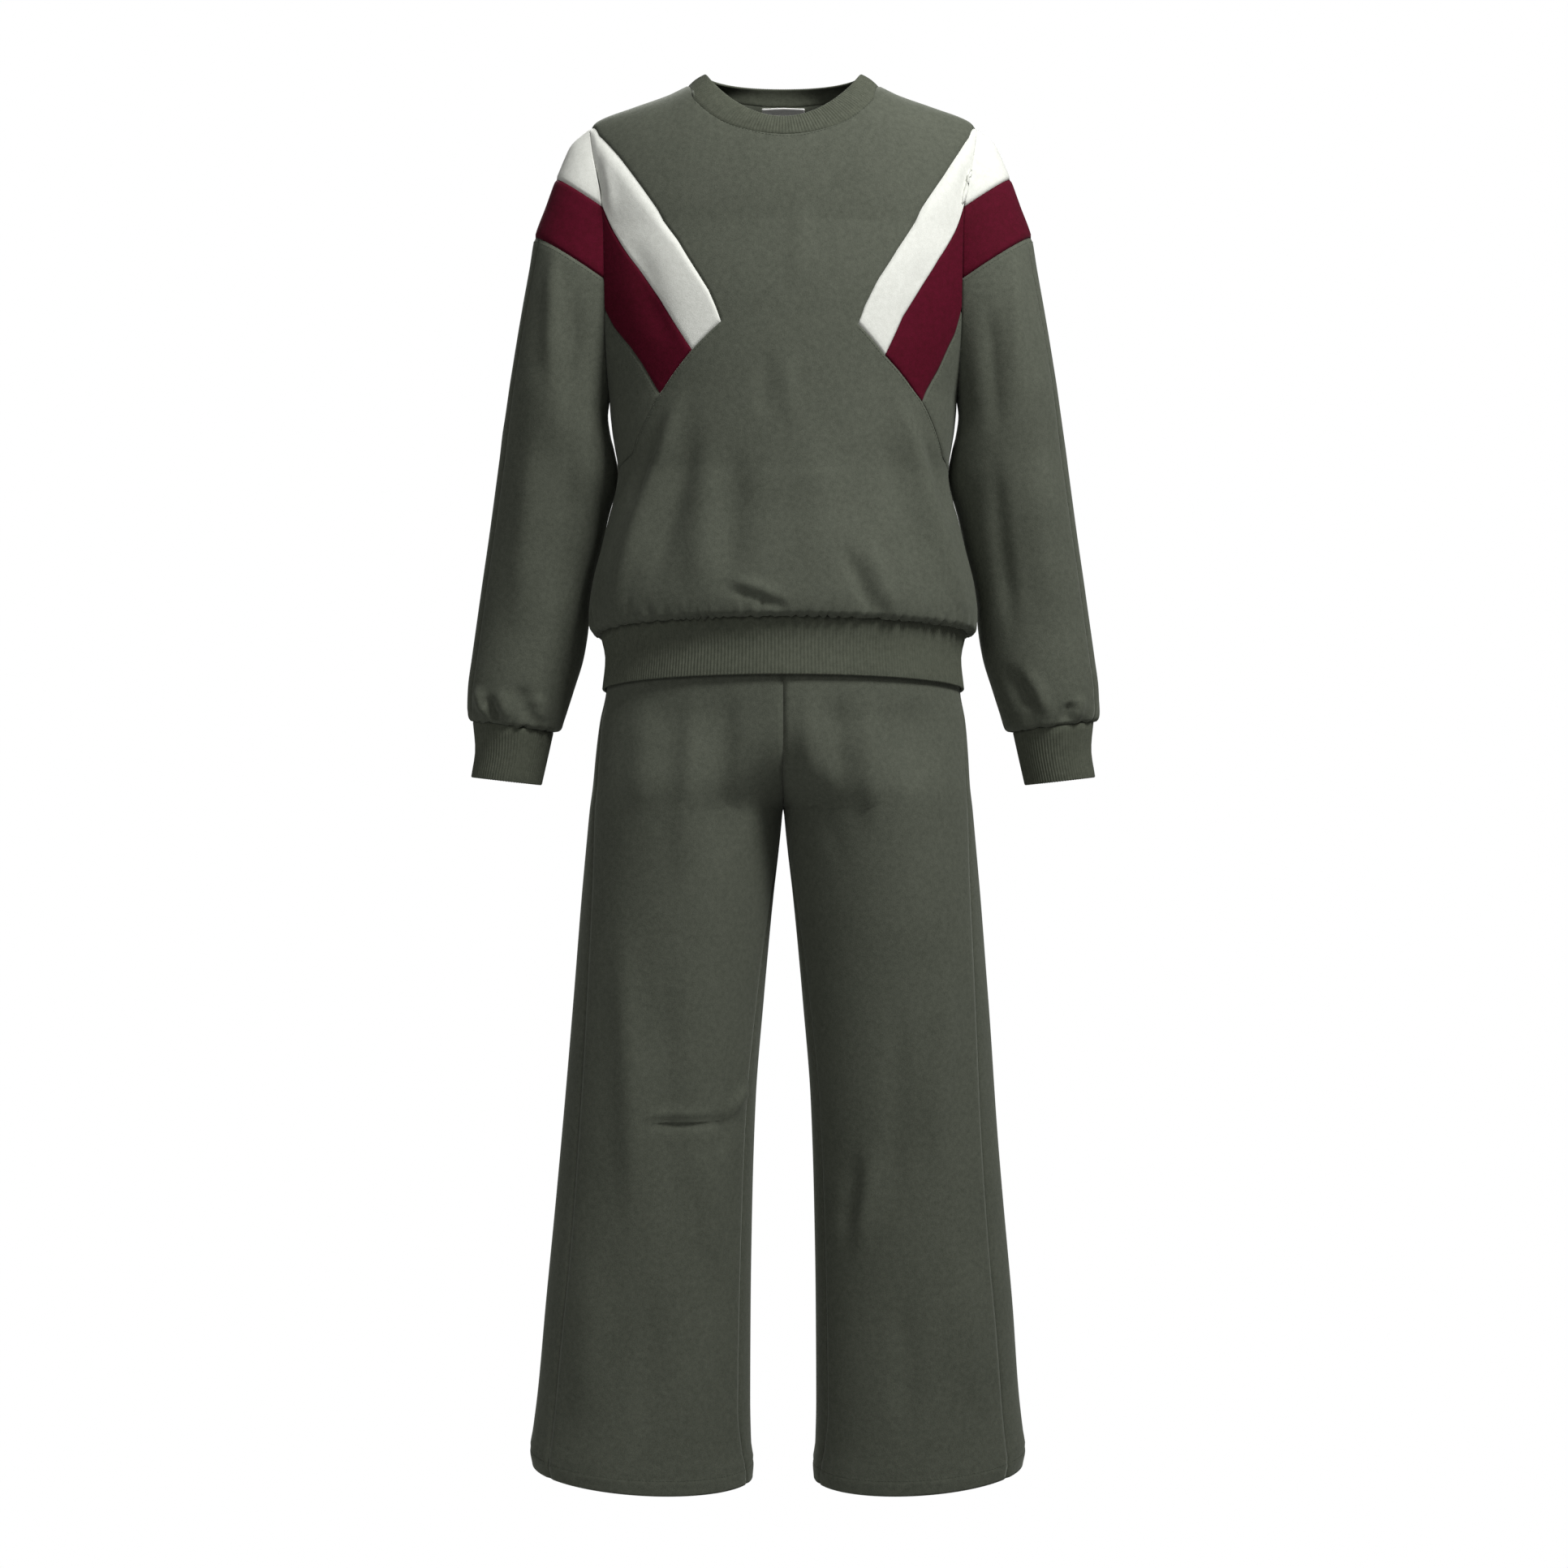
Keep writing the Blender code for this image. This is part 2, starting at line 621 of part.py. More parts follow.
class Wall:
    """A closed cloth wall made from rows of outer points and their directions."""

    def __init__(self, name, thickness, colour, ring=False):
        self.name = name
        self.thickness = thickness
        self.colour = colour
        self.ring = ring
        self.rows = []

    def add_row(self, shares, points, normals, thickness=None):
        thick = thickness or self.thickness
        row = {"shares": list(shares), "outer": [np.array(p, float) for p in points]}
        row["normals"] = [np.array(n, float) for n in normals]
        row["inner"] = [p - n * thick for p, n in zip(row["outer"], row["normals"])]
        self.rows.append(row)

    def inset(self):
        """Draws the open edges back by half a seam gap."""
        half = SEAM_GAP / 2
        moves = []
        for number, row in enumerate(self.rows):
            for index in range(len(row["outer"])):
                move = np.zeros(3)
                last = len(row["outer"]) - 1
                if not self.ring and index in (0, last):
                    other = row["outer"][1 if index == 0 else last - 1]
                    move += self.tangent(number, index, other, True)
                if number in (0, len(self.rows) - 1):
                    other = self.rows[1 if number == 0 else number - 1]
                    nearest = int(np.argmin([abs(s - row["shares"][index])
                                             for s in other["shares"]]))
                    move += self.tangent(number, index, other["outer"][nearest], False)
                moves.append(move * half)
        position = 0
        for row in self.rows:
            for index in range(len(row["outer"])):
                row["outer"][index] = row["outer"][index] + moves[position]
                row["inner"][index] = row["inner"][index] + moves[position]
                position += 1

    def tangent(self, number, index, other, sideways):
        """Direction into the wall from an edge point, square to that edge."""
        row = self.rows[number]
        point = row["outer"][index]
        if sideways:
            above = self.rows[max(0, number - 1)]["outer"]
            below = self.rows[min(len(self.rows) - 1, number + 1)]["outer"]
            edge = below[0 if index == 0 else -1] - above[0 if index == 0 else -1]
        elif self.ring:
            count = len(row["outer"])
            edge = row["outer"][(index + 1) % count] - row["outer"][index - 1]
        else:
            last = len(row["outer"]) - 1
            edge = row["outer"][min(last, index + 1)] - row["outer"][max(0, index - 1)]
        inward = other - point
        for direction in (unit(edge), unit(row["normals"][index])):
            inward = inward - direction * np.dot(inward, direction)
        return unit(inward) if np.linalg.norm(inward) > TINY else np.zeros(3)

    def build(self):
        self.inset()
        vertices = []
        for row in self.rows:
            row["first"] = len(vertices)
            vertices += row["outer"]
        for row in self.rows:
            row["under"] = len(vertices)
            vertices += row["inner"]
        faces = []
        for upper, lower in zip(self.rows, self.rows[1:]):
            faces += self.between(upper, lower, "first")
            faces += [face[::-1] for face in self.between(upper, lower, "under")]
        for row, turned in ((self.rows[0], False), (self.rows[-1], True)):
            faces += self.rim(row, turned)
        if not self.ring:
            for upper, lower in zip(self.rows, self.rows[1:]):
                faces += self.side(upper, lower, 0, False)
                faces += self.side(upper, lower, -1, True)
        make_mesh(self.name, vertices, faces, self.colour)

    def between(self, upper, lower, level):
        rows = []
        for row in (upper, lower):
            indices = [row[level] + i for i in range(len(row["outer"]))]
            shares = list(row["shares"])
            if self.ring:
                indices.append(row[level])
                shares.append(1.0)
            rows.append(list(zip(shares, indices)))
        return strip_between(*rows)

    def rim(self, row, turned):
        count = len(row["outer"])
        faces = []
        for index in range(count if self.ring else count - 1):
            after = (index + 1) % count
            a = row["first"] + index
            b = row["first"] + after
            c = row["under"] + after
            d = row["under"] + index
            face = (a, b, c, d)
            faces.append(turned_over(face) if turned else face)
        return faces

    def side(self, upper, lower, end, turned):
        count_upper = len(upper["outer"]) - 1 if end else 0
        count_lower = len(lower["outer"]) - 1 if end else 0
        face = (upper["first"] + count_upper, upper["under"] + count_upper,
                lower["under"] + count_lower, lower["first"] + count_lower)
        return [turned_over(face) if turned else face]


def material(name, colour):
    made = bpy.data.materials.new(name)
    made.use_nodes = True
    shader = made.node_tree.nodes["Principled BSDF"]
    shader.inputs["Base Color"].default_value = (*colour, 1.0)
    shader.inputs["Roughness"].default_value = 0.9
    return made


def make_mesh(name, vertices, faces, colour):
    """Joins points that fall together, drops empty faces and turns the body outward."""
    kept = []
    index_of = {}
    places = []
    for vertex in vertices:
        key = tuple(int(round(value * 1e4)) for value in vertex)
        if key not in index_of:
            index_of[key] = len(kept)
            kept.append(np.array(vertex, float))
        places.append(index_of[key])
    clean = []
    for face in faces:
        corners = []
        for corner in face:
            place = places[corner]
            if place not in corners:
                corners.append(place)
        for second in range(1, len(corners) - 1):
            clean.append((corners[0], corners[second], corners[second + 1]))
    volume = 0.0
    for a, b, c in clean:
        volume += float(np.dot(kept[a], np.cross(kept[b], kept[c])))
    if volume < 0:
        clean = [face[::-1] for face in clean]
    mesh = bpy.data.meshes.new(name)
    mesh.from_pydata([tuple(vertex * MM) for vertex in kept], [], clean)
    mesh.materials.append(material(name, colour))
    made = bpy.data.objects.new(name, mesh)
    bpy.context.scene.collection.objects.link(made)


def wall_pair(name, thickness, colour, rows_of):
    """The right piece, and the left one turned over; both are given as right pieces."""
    for half, flip in (("right", np.ones(3)), ("left", MIRROR)):
        wall = Wall(f"{name}_{half}", thickness, colour)
        for shares, points, normals, thick in rows_of[half]:
            wall.add_row(shares, [p * flip for p in points],
                         [n * flip for n in normals], thick)
        wall.build()


# Seams of the torso as chart places, right half
def seam_places(outline, cells, first=None, last=None):
    places = [seen_from_front(x, z) for x, z in outline]
    if first is not None:
        places = [first] + places
    if last is not None:
        places = places + [last]
    return spaced(places, cells, -1)


def spaced(places, cells, side):
    """The places at even real spacing along their line."""
    fine = along([(a * 100, b) for a, b in places], 8 * cells)
    fine = [(a / 100, b) for a, b in fine]
    solid = np.array([torso(side, *place) for place in fine])
    lengths = np.r_[0, np.cumsum(np.linalg.norm(np.diff(solid, axis=0), axis=1))]
    wanted = np.linspace(0, lengths[-1], cells + 1)
    columns = [np.interp(wanted, lengths, [p[axis] for p in fine]) for axis in range(2)]
    return [tuple(row) for row in np.column_stack(columns)]


def seam_lines(seams):
    """The front seams of one half as chart places, sampled for the panels."""
    return {
        "white_top": seam_places(seams["white_top"], BAND_CELLS, first=ARM_TOP),
        "white_end": seam_places(seams["white_end"], len(WHITE_STEPS) - 1),
        "white_bottom": seam_places(seams["white_bottom"], BAND_CELLS, first=ARM_WHITE),
        "burgundy_end": seam_places(seams["burgundy_end"], len(BURGUNDY_STEPS)),
        "burgundy_bottom": seam_places(seams["burgundy_bottom"], BAND_CELLS,
                                       first=ARM_BURGUNDY),
        "slant": seam_places(seams["slant"], SLANT_CELLS, last=SIDE_SLANT),
    }


ARM_TOP = at_armhole(-1, WHITE_STEPS[0])
ARM_WHITE = at_armhole(-1, SLEEVE_WHITE_END)
ARM_BURGUNDY = at_armhole(-1, BODY_BURGUNDY_END)
SIDE_ARMPIT = (math.pi / 2, ARMPIT - ROUND_START)
SIDE_SLANT = (math.pi / 2, SLANT_END - ROUND_START)

LINES = {"right": seam_lines(RIGHT_SEAMS), "left": seam_lines(LEFT_SEAMS)}
ARM_WHITE_LINE = [at_armhole(-1, z) for z in WHITE_STEPS]
ARM_BURGUNDY_LINE = [at_armhole(-1, z) for z in WHITE_STEPS[-1:] + BURGUNDY_STEPS]
ARM_SIDE_LINE = [at_armhole(-1, z) for z in BURGUNDY_STEPS[-1:] + SIDE_STEPS]
SIDE_SEAM_LINE = [(math.pi / 2, SIDE_ARMPIT[1] + (SIDE_SLANT[1] - SIDE_ARMPIT[1]) * k / BAND_CELLS)
                  for k in range(BAND_CELLS + 1)]
ARM_STEPS = WHITE_STEPS + BURGUNDY_STEPS + SIDE_STEPS


def arm_seam_normals():
    """Shared outward direction at each armhole sample, front and back."""
    shared = {}
    for side in (-1, 1):
        for z in ARM_STEPS:
            body = torso_skin(side, at_armhole(side, z))[1]
            arm = sleeve_skin(side * 1.0, z)[1]
            if z == WHITE_STEPS[0]:
                arm = unit(arm * SHOULDER_PLANE)
            shared[side, z] = unit(body + arm)
    return shared


ARM_NORMALS = arm_seam_normals()


def armhole_place_normals(side):
    return {at_armhole(side, z): ARM_NORMALS[side, z] for z in ARM_STEPS}


ARM_PLACES = {side: armhole_place_normals(side) for side in (-1, 1)}


def skin_at(side, place):
    point, normal = torso_skin(side, place)
    mirrored = (-place[0], place[1])
    if place in ARM_PLACES[side]:
        return torso(side, *place), ARM_PLACES[side][place]
    if mirrored in ARM_PLACES[side]:
        return torso(side, *place), ARM_PLACES[side][mirrored] * MIRROR
    return point, normal


def patch(start, end, first, last):
    """Chart grid between four seams: start and end run down, first and last along."""
    rows = []
    down = len(start) - 1
    across = len(first) - 1
    corners = [np.array(p) for p in (start[0], start[-1], end[0], end[-1])]
    for i in range(down + 1):
        row = []
        for j in range(across + 1):
            v = i / down
            u = j / across
            if i == 0:
                place = first[j]
            elif i == down:
                place = last[j]
            elif j == 0:
                place = start[i]
            elif j == across:
                place = end[i]
            else:
                ruled = ((1 - u) * np.array(start[i]) + u * np.array(end[i])
                         + (1 - v) * np.array(first[j]) + v * np.array(last[j]))
                flat = ((1 - v) * ((1 - u) * corners[0] + u * corners[2])
                        + v * ((1 - u) * corners[1] + u * corners[3]))
                place = tuple(ruled - flat)
            row.append(place)
        rows.append(row)
    return rows


def build_front_panels():
    """White band, burgundy band and side panel of each side."""
    panels = (
        ("white_band", WHITE, ARM_WHITE_LINE, "white_end", "white_top", "white_bottom"),
        ("burgundy_band", BURGUNDY, ARM_BURGUNDY_LINE, "burgundy_end", "white_bottom",
         "burgundy_bottom"),
        ("side_panel", GREEN, ARM_SIDE_LINE, "slant", "burgundy_bottom", "side_seam"),
    )
    for name, colour, start, end, first, last in panels:
        rows_of = {}
        for half, lines in LINES.items():
            lines = {**lines, "side_seam": SIDE_SEAM_LINE}
            rows = []
            for row in patch(start, lines[end], lines[first], lines[last]):
                shares = [index / (len(row) - 1) for index in range(len(row))]
                skins = [skin_at(-1, place) for place in row]
                rows.append((shares, [s[0] for s in skins], [s[1] for s in skins], None))
            rows_of[half] = rows
        wall_pair(name, WALL, colour, rows_of)


def neck_place(side, share):
    """Chart place of the neck seam: share 0 in the middle and 1 at the shoulder."""
    if side < 0:
        return NECK_FRONT[int(round(share * NECK_CELLS / 2))]
    angle = share * math.pi / 2
    rise = math.pi / 2 - BACK_NECK_DROP * math.cos(angle)
    x = NECK_SHOULDER * math.sin(angle)
    return math.asin(x / ROUND_WIDTH), ROUND_SCALE * rise


SHOULDER_NECK = (math.asin(NECK_SHOULDER / ROUND_WIDTH), ROUND_SCALE * math.pi / 2)
NECK_FRONT = seam_places(NECK_SEAM[1:], NECK_CELLS // 2, first=SHOULDER_NECK)[::-1]
NECK_FRONT[0] = (0.0, NECK_FRONT[0][1])
def top_edge(side):
    """Shares and chart places of the shoulder and neck seams, from left to right."""
    edge = []
    for k in range(SHOULDER_CELLS):
        part = k / SHOULDER_CELLS
        around = ARM_TOP[0] + (SHOULDER_NECK[0] - ARM_TOP[0]) * part
        edge.append((NECK_SHARE * part, (-around, ARM_TOP[1])))
    for k in range(NECK_CELLS // 2 + 1):
        share = 1 - 2 * k / NECK_CELLS
        around, up = neck_place(side, share)
        edge.append((NECK_SHARE + (0.5 - NECK_SHARE) * (1 - share), (-around, up)))
    mirrored = [(1 - share, (-place[0], place[1])) for share, place in edge[-2::-1]]
    return edge + mirrored


def between_places(edge, share):
    shares = [item[0] for item in edge]
    return np.array([np.interp(share, shares, [item[1][axis] for item in edge])
                     for axis in range(2)])


def build_half(name, side, edges):
    """A panel over the whole width: edges holds its left and right places, downward."""
    top = top_edge(side)
    lower = [(math.pi / 2, z - ROUND_START) for z in LOWER_STEPS + GATHER_STEPS]
    left_edge = list(edges["left"]) + lower
    right_edge = list(edges["right"]) + lower
    wall = Wall(name, WALL, GREEN)
    total = len(right_edge) - 1
    gather_from = total - len(GATHER_STEPS)
    gather_cells = GATHERS * GATHER_CELLS_EACH
    for number in range(total + 1):
        if number == 0:
            row = [place for _, place in top]
            shares = [share for share, _ in top]
        else:
            cells = gather_cells if number > gather_from else MAIN_CELLS
            shares = [k / cells for k in range(cells + 1)]
            left = np.array(left_edge[number]) * (-1, 1)
            right = np.array(right_edge[number])
            bend = from_table(TOP_BEND[side], number)
            row = [tuple(place_in_row(top, left, right, share, bend))
                   for share in shares]
        skins = [skin_at(side, item) for item in row]
        wall.add_row(shares, [s[0] for s in skins], [s[1] for s in skins])
    wall.build()


def place_in_row(top, left, right, share, bend):
    """Chart place between two edge places, bent like the top edge by that share."""
    level = (1 - share) * left + share * right
    if share in (0.0, 1.0):
        return level
    ends = (1 - share) * np.array(top[0][1]) + share * np.array(top[-1][1])
    return level + bend * (between_places(top, share) - ends)


def build_torso():
    fronts = {half: (lines["white_top"] + lines["white_end"][1:]
                     + lines["burgundy_end"][1:] + lines["slant"][1:])
              for half, lines in LINES.items()}
    build_half("front_body", -1, fronts)
    back = [at_armhole(1, z) for z in ARM_STEPS[:-1]] + SIDE_SEAM_LINE
    build_half("back_body", 1, {"right": back, "left": back})


# Sleeves
def build_sleeves():
    front = [-1 + (1 + OVERARM_SHARE) * k / FRONT_SLEEVE_CELLS
             for k in range(FRONT_SLEEVE_CELLS + 1)]
    back = [OVERARM_SHARE + (1 - OVERARM_SHARE) * k / BACK_SLEEVE_CELLS
            for k in range(BACK_SLEEVE_CELLS + 1)]
    around = front + back[1:]
    white = WHITE_STEPS
    burgundy = WHITE_STEPS[-1:] + BURGUNDY_STEPS[:3]
    green = BURGUNDY_STEPS[2:] + SIDE_STEPS + SLEEVE_TUBE_STEPS
    pieces = (("sleeve_top", WHITE, around, white),
              ("sleeve_band", BURGUNDY, around, burgundy),
              ("sleeve_front", GREEN, front, green),
              ("sleeve_back", GREEN, back, green))
    for name, colour, shares, steps in pieces:
        rows = []
        for z in steps:
            points = []
            normals = []
            for share in shares:
                point, normal = sleeve_skin(share, z)
                if abs(share) == 1 and z in ARM_STEPS:
                    point = sleeve(sleeve_angle(share, z), z)
                    normal = ARM_NORMALS[int(share), z]
                points.append(point)
                normals.append(normal)
            if z == WHITE_STEPS[0]:
                normals = [ARM_NORMALS[-1, z]] * len(shares)
            rows.append((shares, points, normals, None))
        wall_pair(name, WALL, colour, {"right": rows, "left": rows})


def build_cuffs():
    for side, flip in (("right", np.ones(3)), ("left", MIRROR)):
        wall = Wall(f"cuff_{side}", RIB_WALL, GREEN_RIB, ring=True)
        for number in range(CUFF_ROWS + 1):
            share = number / CUFF_ROWS
            values = [from_table(CUFF, share, column) for column in range(1, 6)]
            inner = np.array(values[0:2])
            outer = np.array(values[2:4])
            middle = (inner + outer) / 2
            half = np.linalg.norm(outer - inner) / 2
            lean = (outer - inner) / (2 * half)
            shares = [k / CUFF_COLUMNS for k in range(CUFF_COLUMNS)]
            points = []
            normals = []
            for part in shares:
                angle = 2 * math.pi * part
                flat = middle + lean * half * math.cos(angle)
                outward = lean * math.cos(angle) / half
                points.append(np.array((flat[0], CUFF_MIDDLE_Y + values[4] * math.sin(angle),
                                        flat[1])) * flip)
                normals.append(unit(np.array((outward[0], math.sin(angle) / values[4],
                                              outward[1]))) * flip)
            wall.add_row(shares, points, normals)
        wall.build()


def build_hem_band():
    wall = Wall("hem_band", RIB_WALL, GREEN_RIB, ring=True)
    shares = [k / HEM_BAND_COLUMNS for k in range(HEM_BAND_COLUMNS)]
    for number in range(HEM_BAND_ROWS + 1):
        share = number / HEM_BAND_ROWS
        width = from_table(HEM_BAND, share)
        height = HEM_BAND_TOP + (HEM_BOTTOM - HEM_BAND_TOP) * share
        tilt = HEM_TILT + (HEM_BAND_TILT - HEM_TILT) * share
        points = []
        normals = []
        for part in shares:
            angle = 2 * math.pi * part
            front = -math.cos(angle)
            depth = from_table(HEM_BAND, share, 2 if front < 0 else 3)
            points.append((width * math.sin(angle), depth * front, height - tilt * front))
            normals.append(unit(np.array((math.sin(angle) / width, front / depth, 0))))
        wall.add_row(shares, points, normals)
    wall.build()


# Collar
def collar_top(angle):
    middle = (COLLAR_TOP_FRONT + COLLAR_TOP_BACK) / 2
    half = (COLLAR_TOP_BACK - COLLAR_TOP_FRONT) / 2
    dip = COLLAR_TOP_DIP * max(0.0, math.cos(angle)) ** COLLAR_DIP_POWER
    return np.array((COLLAR_TOP_HALF_WIDTH * math.sin(angle),
                     middle - half * math.cos(angle), COLLAR_TOP_SIDE_HEIGHT - dip))


def neck_loop():
    """Neck seam points and torso directions, clockwise from the front middle."""
    loop = []
    quarter = NECK_CELLS // 2
    for k in range(quarter + 1):
        loop.append((-1, k / quarter, 1))
    for k in range(quarter - 1, -1, -1):
        loop.append((1, k / quarter, 1))
    for k in range(1, quarter + 1):
        loop.append((1, k / quarter, -1))
    for k in range(quarter - 1, 0, -1):
        loop.append((-1, k / quarter, -1))
    found = []
    for side, share, half in loop:
        around, up = neck_place(side, share)
        found.append(torso_skin(side, (half * around, up)))
    return found


def build_collar():
    loop = neck_loop()
    count = len(loop)
    wall = Wall("collar", RIB_WALL, GREEN_RIB, ring=True)
    tops = []
    for index, (point, _) in enumerate(loop):
        angle = 2 * math.pi * index / count
        tops.append(collar_top(angle))
    directions = []
    for index, (point, _) in enumerate(loop):
        around = tops[(index + 1) % count] - tops[index - 1]
        directions.append(unit(np.cross(around, tops[index] - point)))
    shares = [k / count for k in range(count)]
    for number in range(COLLAR_ROWS + 1):
        part = number / COLLAR_ROWS
        points = []
        normals = []
        for index, (point, torso_normal) in enumerate(loop):
            points.append(point + (tops[index] - point) * part)
            seam_normal = unit(torso_normal + directions[index])
            normals.append(unit(seam_normal * (1 - part) + directions[index] * part))
        wall.add_row(shares, points, normals)
    wall.build()


def build_label():
    """Blank label inside the back of the neck."""
    wall = Wall("neck_label", LABEL_WALL, LABEL_WHITE)
    top_rise = math.pi / 2 - BACK_NECK_DROP
    shares = [k / LABEL_CELLS for k in range(LABEL_CELLS + 1)]
    for row in range(3):
        points = []
        normals = []
        for share in shares:
            x = LABEL_HALF_WIDTH * (2 * share - 1)
            up = ROUND_SCALE * top_rise - 6 - LABEL_HEIGHT / 2 * row
            point, normal = torso_skin(1, (math.asin(x / ROUND_WIDTH), up))
            points.append(point - normal * (WALL + LABEL_GAP))
            normals.append(normal)
        wall.add_row(shares, points, normals)
    wall.build()


# Trousers
def build_trousers():
    pieces = (("trouser_front", LEG_FRONT_CELLS), ("trouser_back", LEG_BACK_CELLS))
    for name, cells in pieces:
        rows_of = {}
        for half in ("right", "left"):
            rows = []
            for z in LEG_STEPS:
                outer, front, back = leg_edges(z)
                end = front if name == "trouser_front" else back
                shares = [k / cells for k in range(cells + 1)]
                skins = [leg_skin(outer + (end - outer) * share, z, half)
                         for share in shares]
                thick = FOLDED_HEM_WALL if z <= LEG_HEM_STITCH else None
                rows.append((shares, [s[0] for s in skins], [s[1] for s in skins], thick))
            rows_of[half] = rows
        wall_pair(name, WALL, GREEN, rows_of)


def build_waistband():
    wall = Wall("waistband", RIB_WALL, GREEN_RIB, ring=True)
    width, depth = WAISTBAND
    shares = [k / WAISTBAND_COLUMNS for k in range(WAISTBAND_COLUMNS)]
    for z in (WAIST_SEAM, WAIST_TOP):
        points = []
        normals = []
        for part in shares:
            angle = 2 * math.pi * part
            points.append((width * math.sin(angle), -depth * math.cos(angle), z))
            normals.append(unit(np.array((math.sin(angle) / width,
                                          -math.cos(angle) / depth, 0))))
        wall.add_row(shares, points, normals)
    wall.build()


for old in list(bpy.data.objects):
    bpy.data.objects.remove(old)
build_front_panels()
build_torso()
build_sleeves()
build_cuffs()
build_hem_band()
build_collar()
build_label()
build_trousers()
build_waistband()
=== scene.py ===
"""Sweatshirt and trousers as worn with no wearer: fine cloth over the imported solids.

Sizes are millimetres until they reach a mesh. X runs to the right as seen from the
front, Y to the back and Z up.
"""

import functools
import json
import math
import random

import bpy
import numpy as np
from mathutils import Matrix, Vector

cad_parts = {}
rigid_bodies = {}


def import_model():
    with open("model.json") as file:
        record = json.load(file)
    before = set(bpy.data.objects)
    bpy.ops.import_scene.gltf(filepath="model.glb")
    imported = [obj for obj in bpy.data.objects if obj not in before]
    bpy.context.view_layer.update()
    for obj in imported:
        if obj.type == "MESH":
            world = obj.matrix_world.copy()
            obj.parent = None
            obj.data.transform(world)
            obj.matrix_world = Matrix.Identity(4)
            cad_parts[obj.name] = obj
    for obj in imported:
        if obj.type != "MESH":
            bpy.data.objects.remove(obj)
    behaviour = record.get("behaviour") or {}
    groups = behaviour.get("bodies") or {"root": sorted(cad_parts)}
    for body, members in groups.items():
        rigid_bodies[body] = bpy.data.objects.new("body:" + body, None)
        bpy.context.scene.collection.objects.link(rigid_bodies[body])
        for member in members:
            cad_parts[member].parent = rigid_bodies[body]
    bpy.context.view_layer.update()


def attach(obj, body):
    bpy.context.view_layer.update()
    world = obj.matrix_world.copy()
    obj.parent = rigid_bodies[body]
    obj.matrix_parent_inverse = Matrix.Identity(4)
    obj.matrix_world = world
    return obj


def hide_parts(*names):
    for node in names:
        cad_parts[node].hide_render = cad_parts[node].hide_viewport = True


MM = 0.001
# Each half of the set, and the sign of its x against the right half's
HALVES = (("right", 1.0), ("left", -1.0))
SEAM_GAP = 0.3
TINY = 1e-6
GATHERED_ROW = 1e-3
FAR = 1e3
WALL = 1.8
HEM_WALL = 3.0

# Front view that the outlines below are measured in: they lie in the plane y = 0
# and shrink towards the eye's height for what stands nearer. The frame's width is what
# the square view spans in that plane.
EYE_DISTANCE = 3000.0
EYE_HEIGHT = -689.0
EYE_SIDE = 0.8
FRAME_WIDTH = 1932 * 0.8
SENSOR = 36.0
# Rounds that settle where a place of the front view lies on the curved cloth
VIEW_ROUNDS = 12

# Heights
ROUND_START = -150.0
SLEEVE_WHITE_END = -128.5
SLEEVE_BURGUNDY_END = -199.6
BODY_BURGUNDY_END = -230.6
ARMPIT = -312.0
SLANT_END = -385.0
SLEEVE_END = -637.6
GATHER_START = -498.0
HEM_SEAM = -541.0
TURNED_UNDER = -545.0
HEM_BOTTOM = -597.0
WAIST_TOP = -404.0
WAIST_SEAM = -444.0
CROTCH = -714.0
LEG_HEM = -1364.0
LEG_HEM_STITCH = -1349.0

# Shoulder line: distance from the middle, height
SHOULDER = ((0, 6), (60, 4), (86, 0), (114, -12), (149, -24), (182, -36), (191, -44))
# Armhole: height, distance from the middle
ARMHOLE = ((-312, 171), (-260, 172.5), (-199.6, 173.5), (-150, 174.5), (-118, 177.5),
           (-72.6, 186.5), (-44, 191))
# Torso: height, half width, depth to the front, depth to the back
TORSO = (
    (TURNED_UNDER, 178, 116, 112),
    (HEM_SEAM, 186, 122, 116),
    (-536, 190, 127, 119),
    (-520, 191.2, 129, 120),
    (-498, 188.8, 128, 118),
    (-453, 178, 124, 112),
    (-428, 172, 121, 108),
    (-412, 167.6, 120, 106),
    (-396, 164, 119, 105),
    (-385, 162.8, 118, 105),
    (-375, 163.2, 118, 105),
    (-359, 165.8, 118, 105),
    (-340, 168.8, 118, 105),
    (-312, 171, 118, 106),
    (-230, 171, 117, 107),
    (-150, 171, 108, 108),
)
ROUND_DEPTH = 108.0
ROUND_SCALE = 100.0
# The hem hangs lower at the back than at the front
HEM_TILT = 11.0
HEM_TILT_START = -400.0

# Seams seen from the front: distance from the middle, height. The worn cloth has
# settled a little differently on its two sides.
NECK_SEAM = ((93.6, -4.8), (89.2, -12.2), (82.4, -19.2), (74, -26.4), (64, -32.8), (52.5, -38),
             (40, -41.8), (27, -44.8), (14, -46.4), (0, -47))
LEFT_SEAMS = {
    "white_top": ((182.4, -49.6), (171.2, -60.8), (163.2, -69.6), (148, -89.6),
                  (124, -123.2), (104.8, -152), (85.6, -183.2), (73.6, -202.4),
                  (66.4, -219.2), (61.6, -232.8)),
    "white_end": ((61.6, -232.8), (90.4, -260.8)),
    "white_bottom": ((163.2, -152), (144, -180.8), (124, -209.6), (104.8, -239.2),
                     (90.4, -260.8)),
    "burgundy_end": ((90.4, -260.8), (122.4, -304)),
    "burgundy_bottom": ((167.2, -239.2), (151.2, -258.4), (140, -274.4),
                        (126.4, -297.6), (122.4, -304)),
    "slant": ((122.4, -304), (136, -330.4), (144, -347.2), (149.6, -364.8)),
}
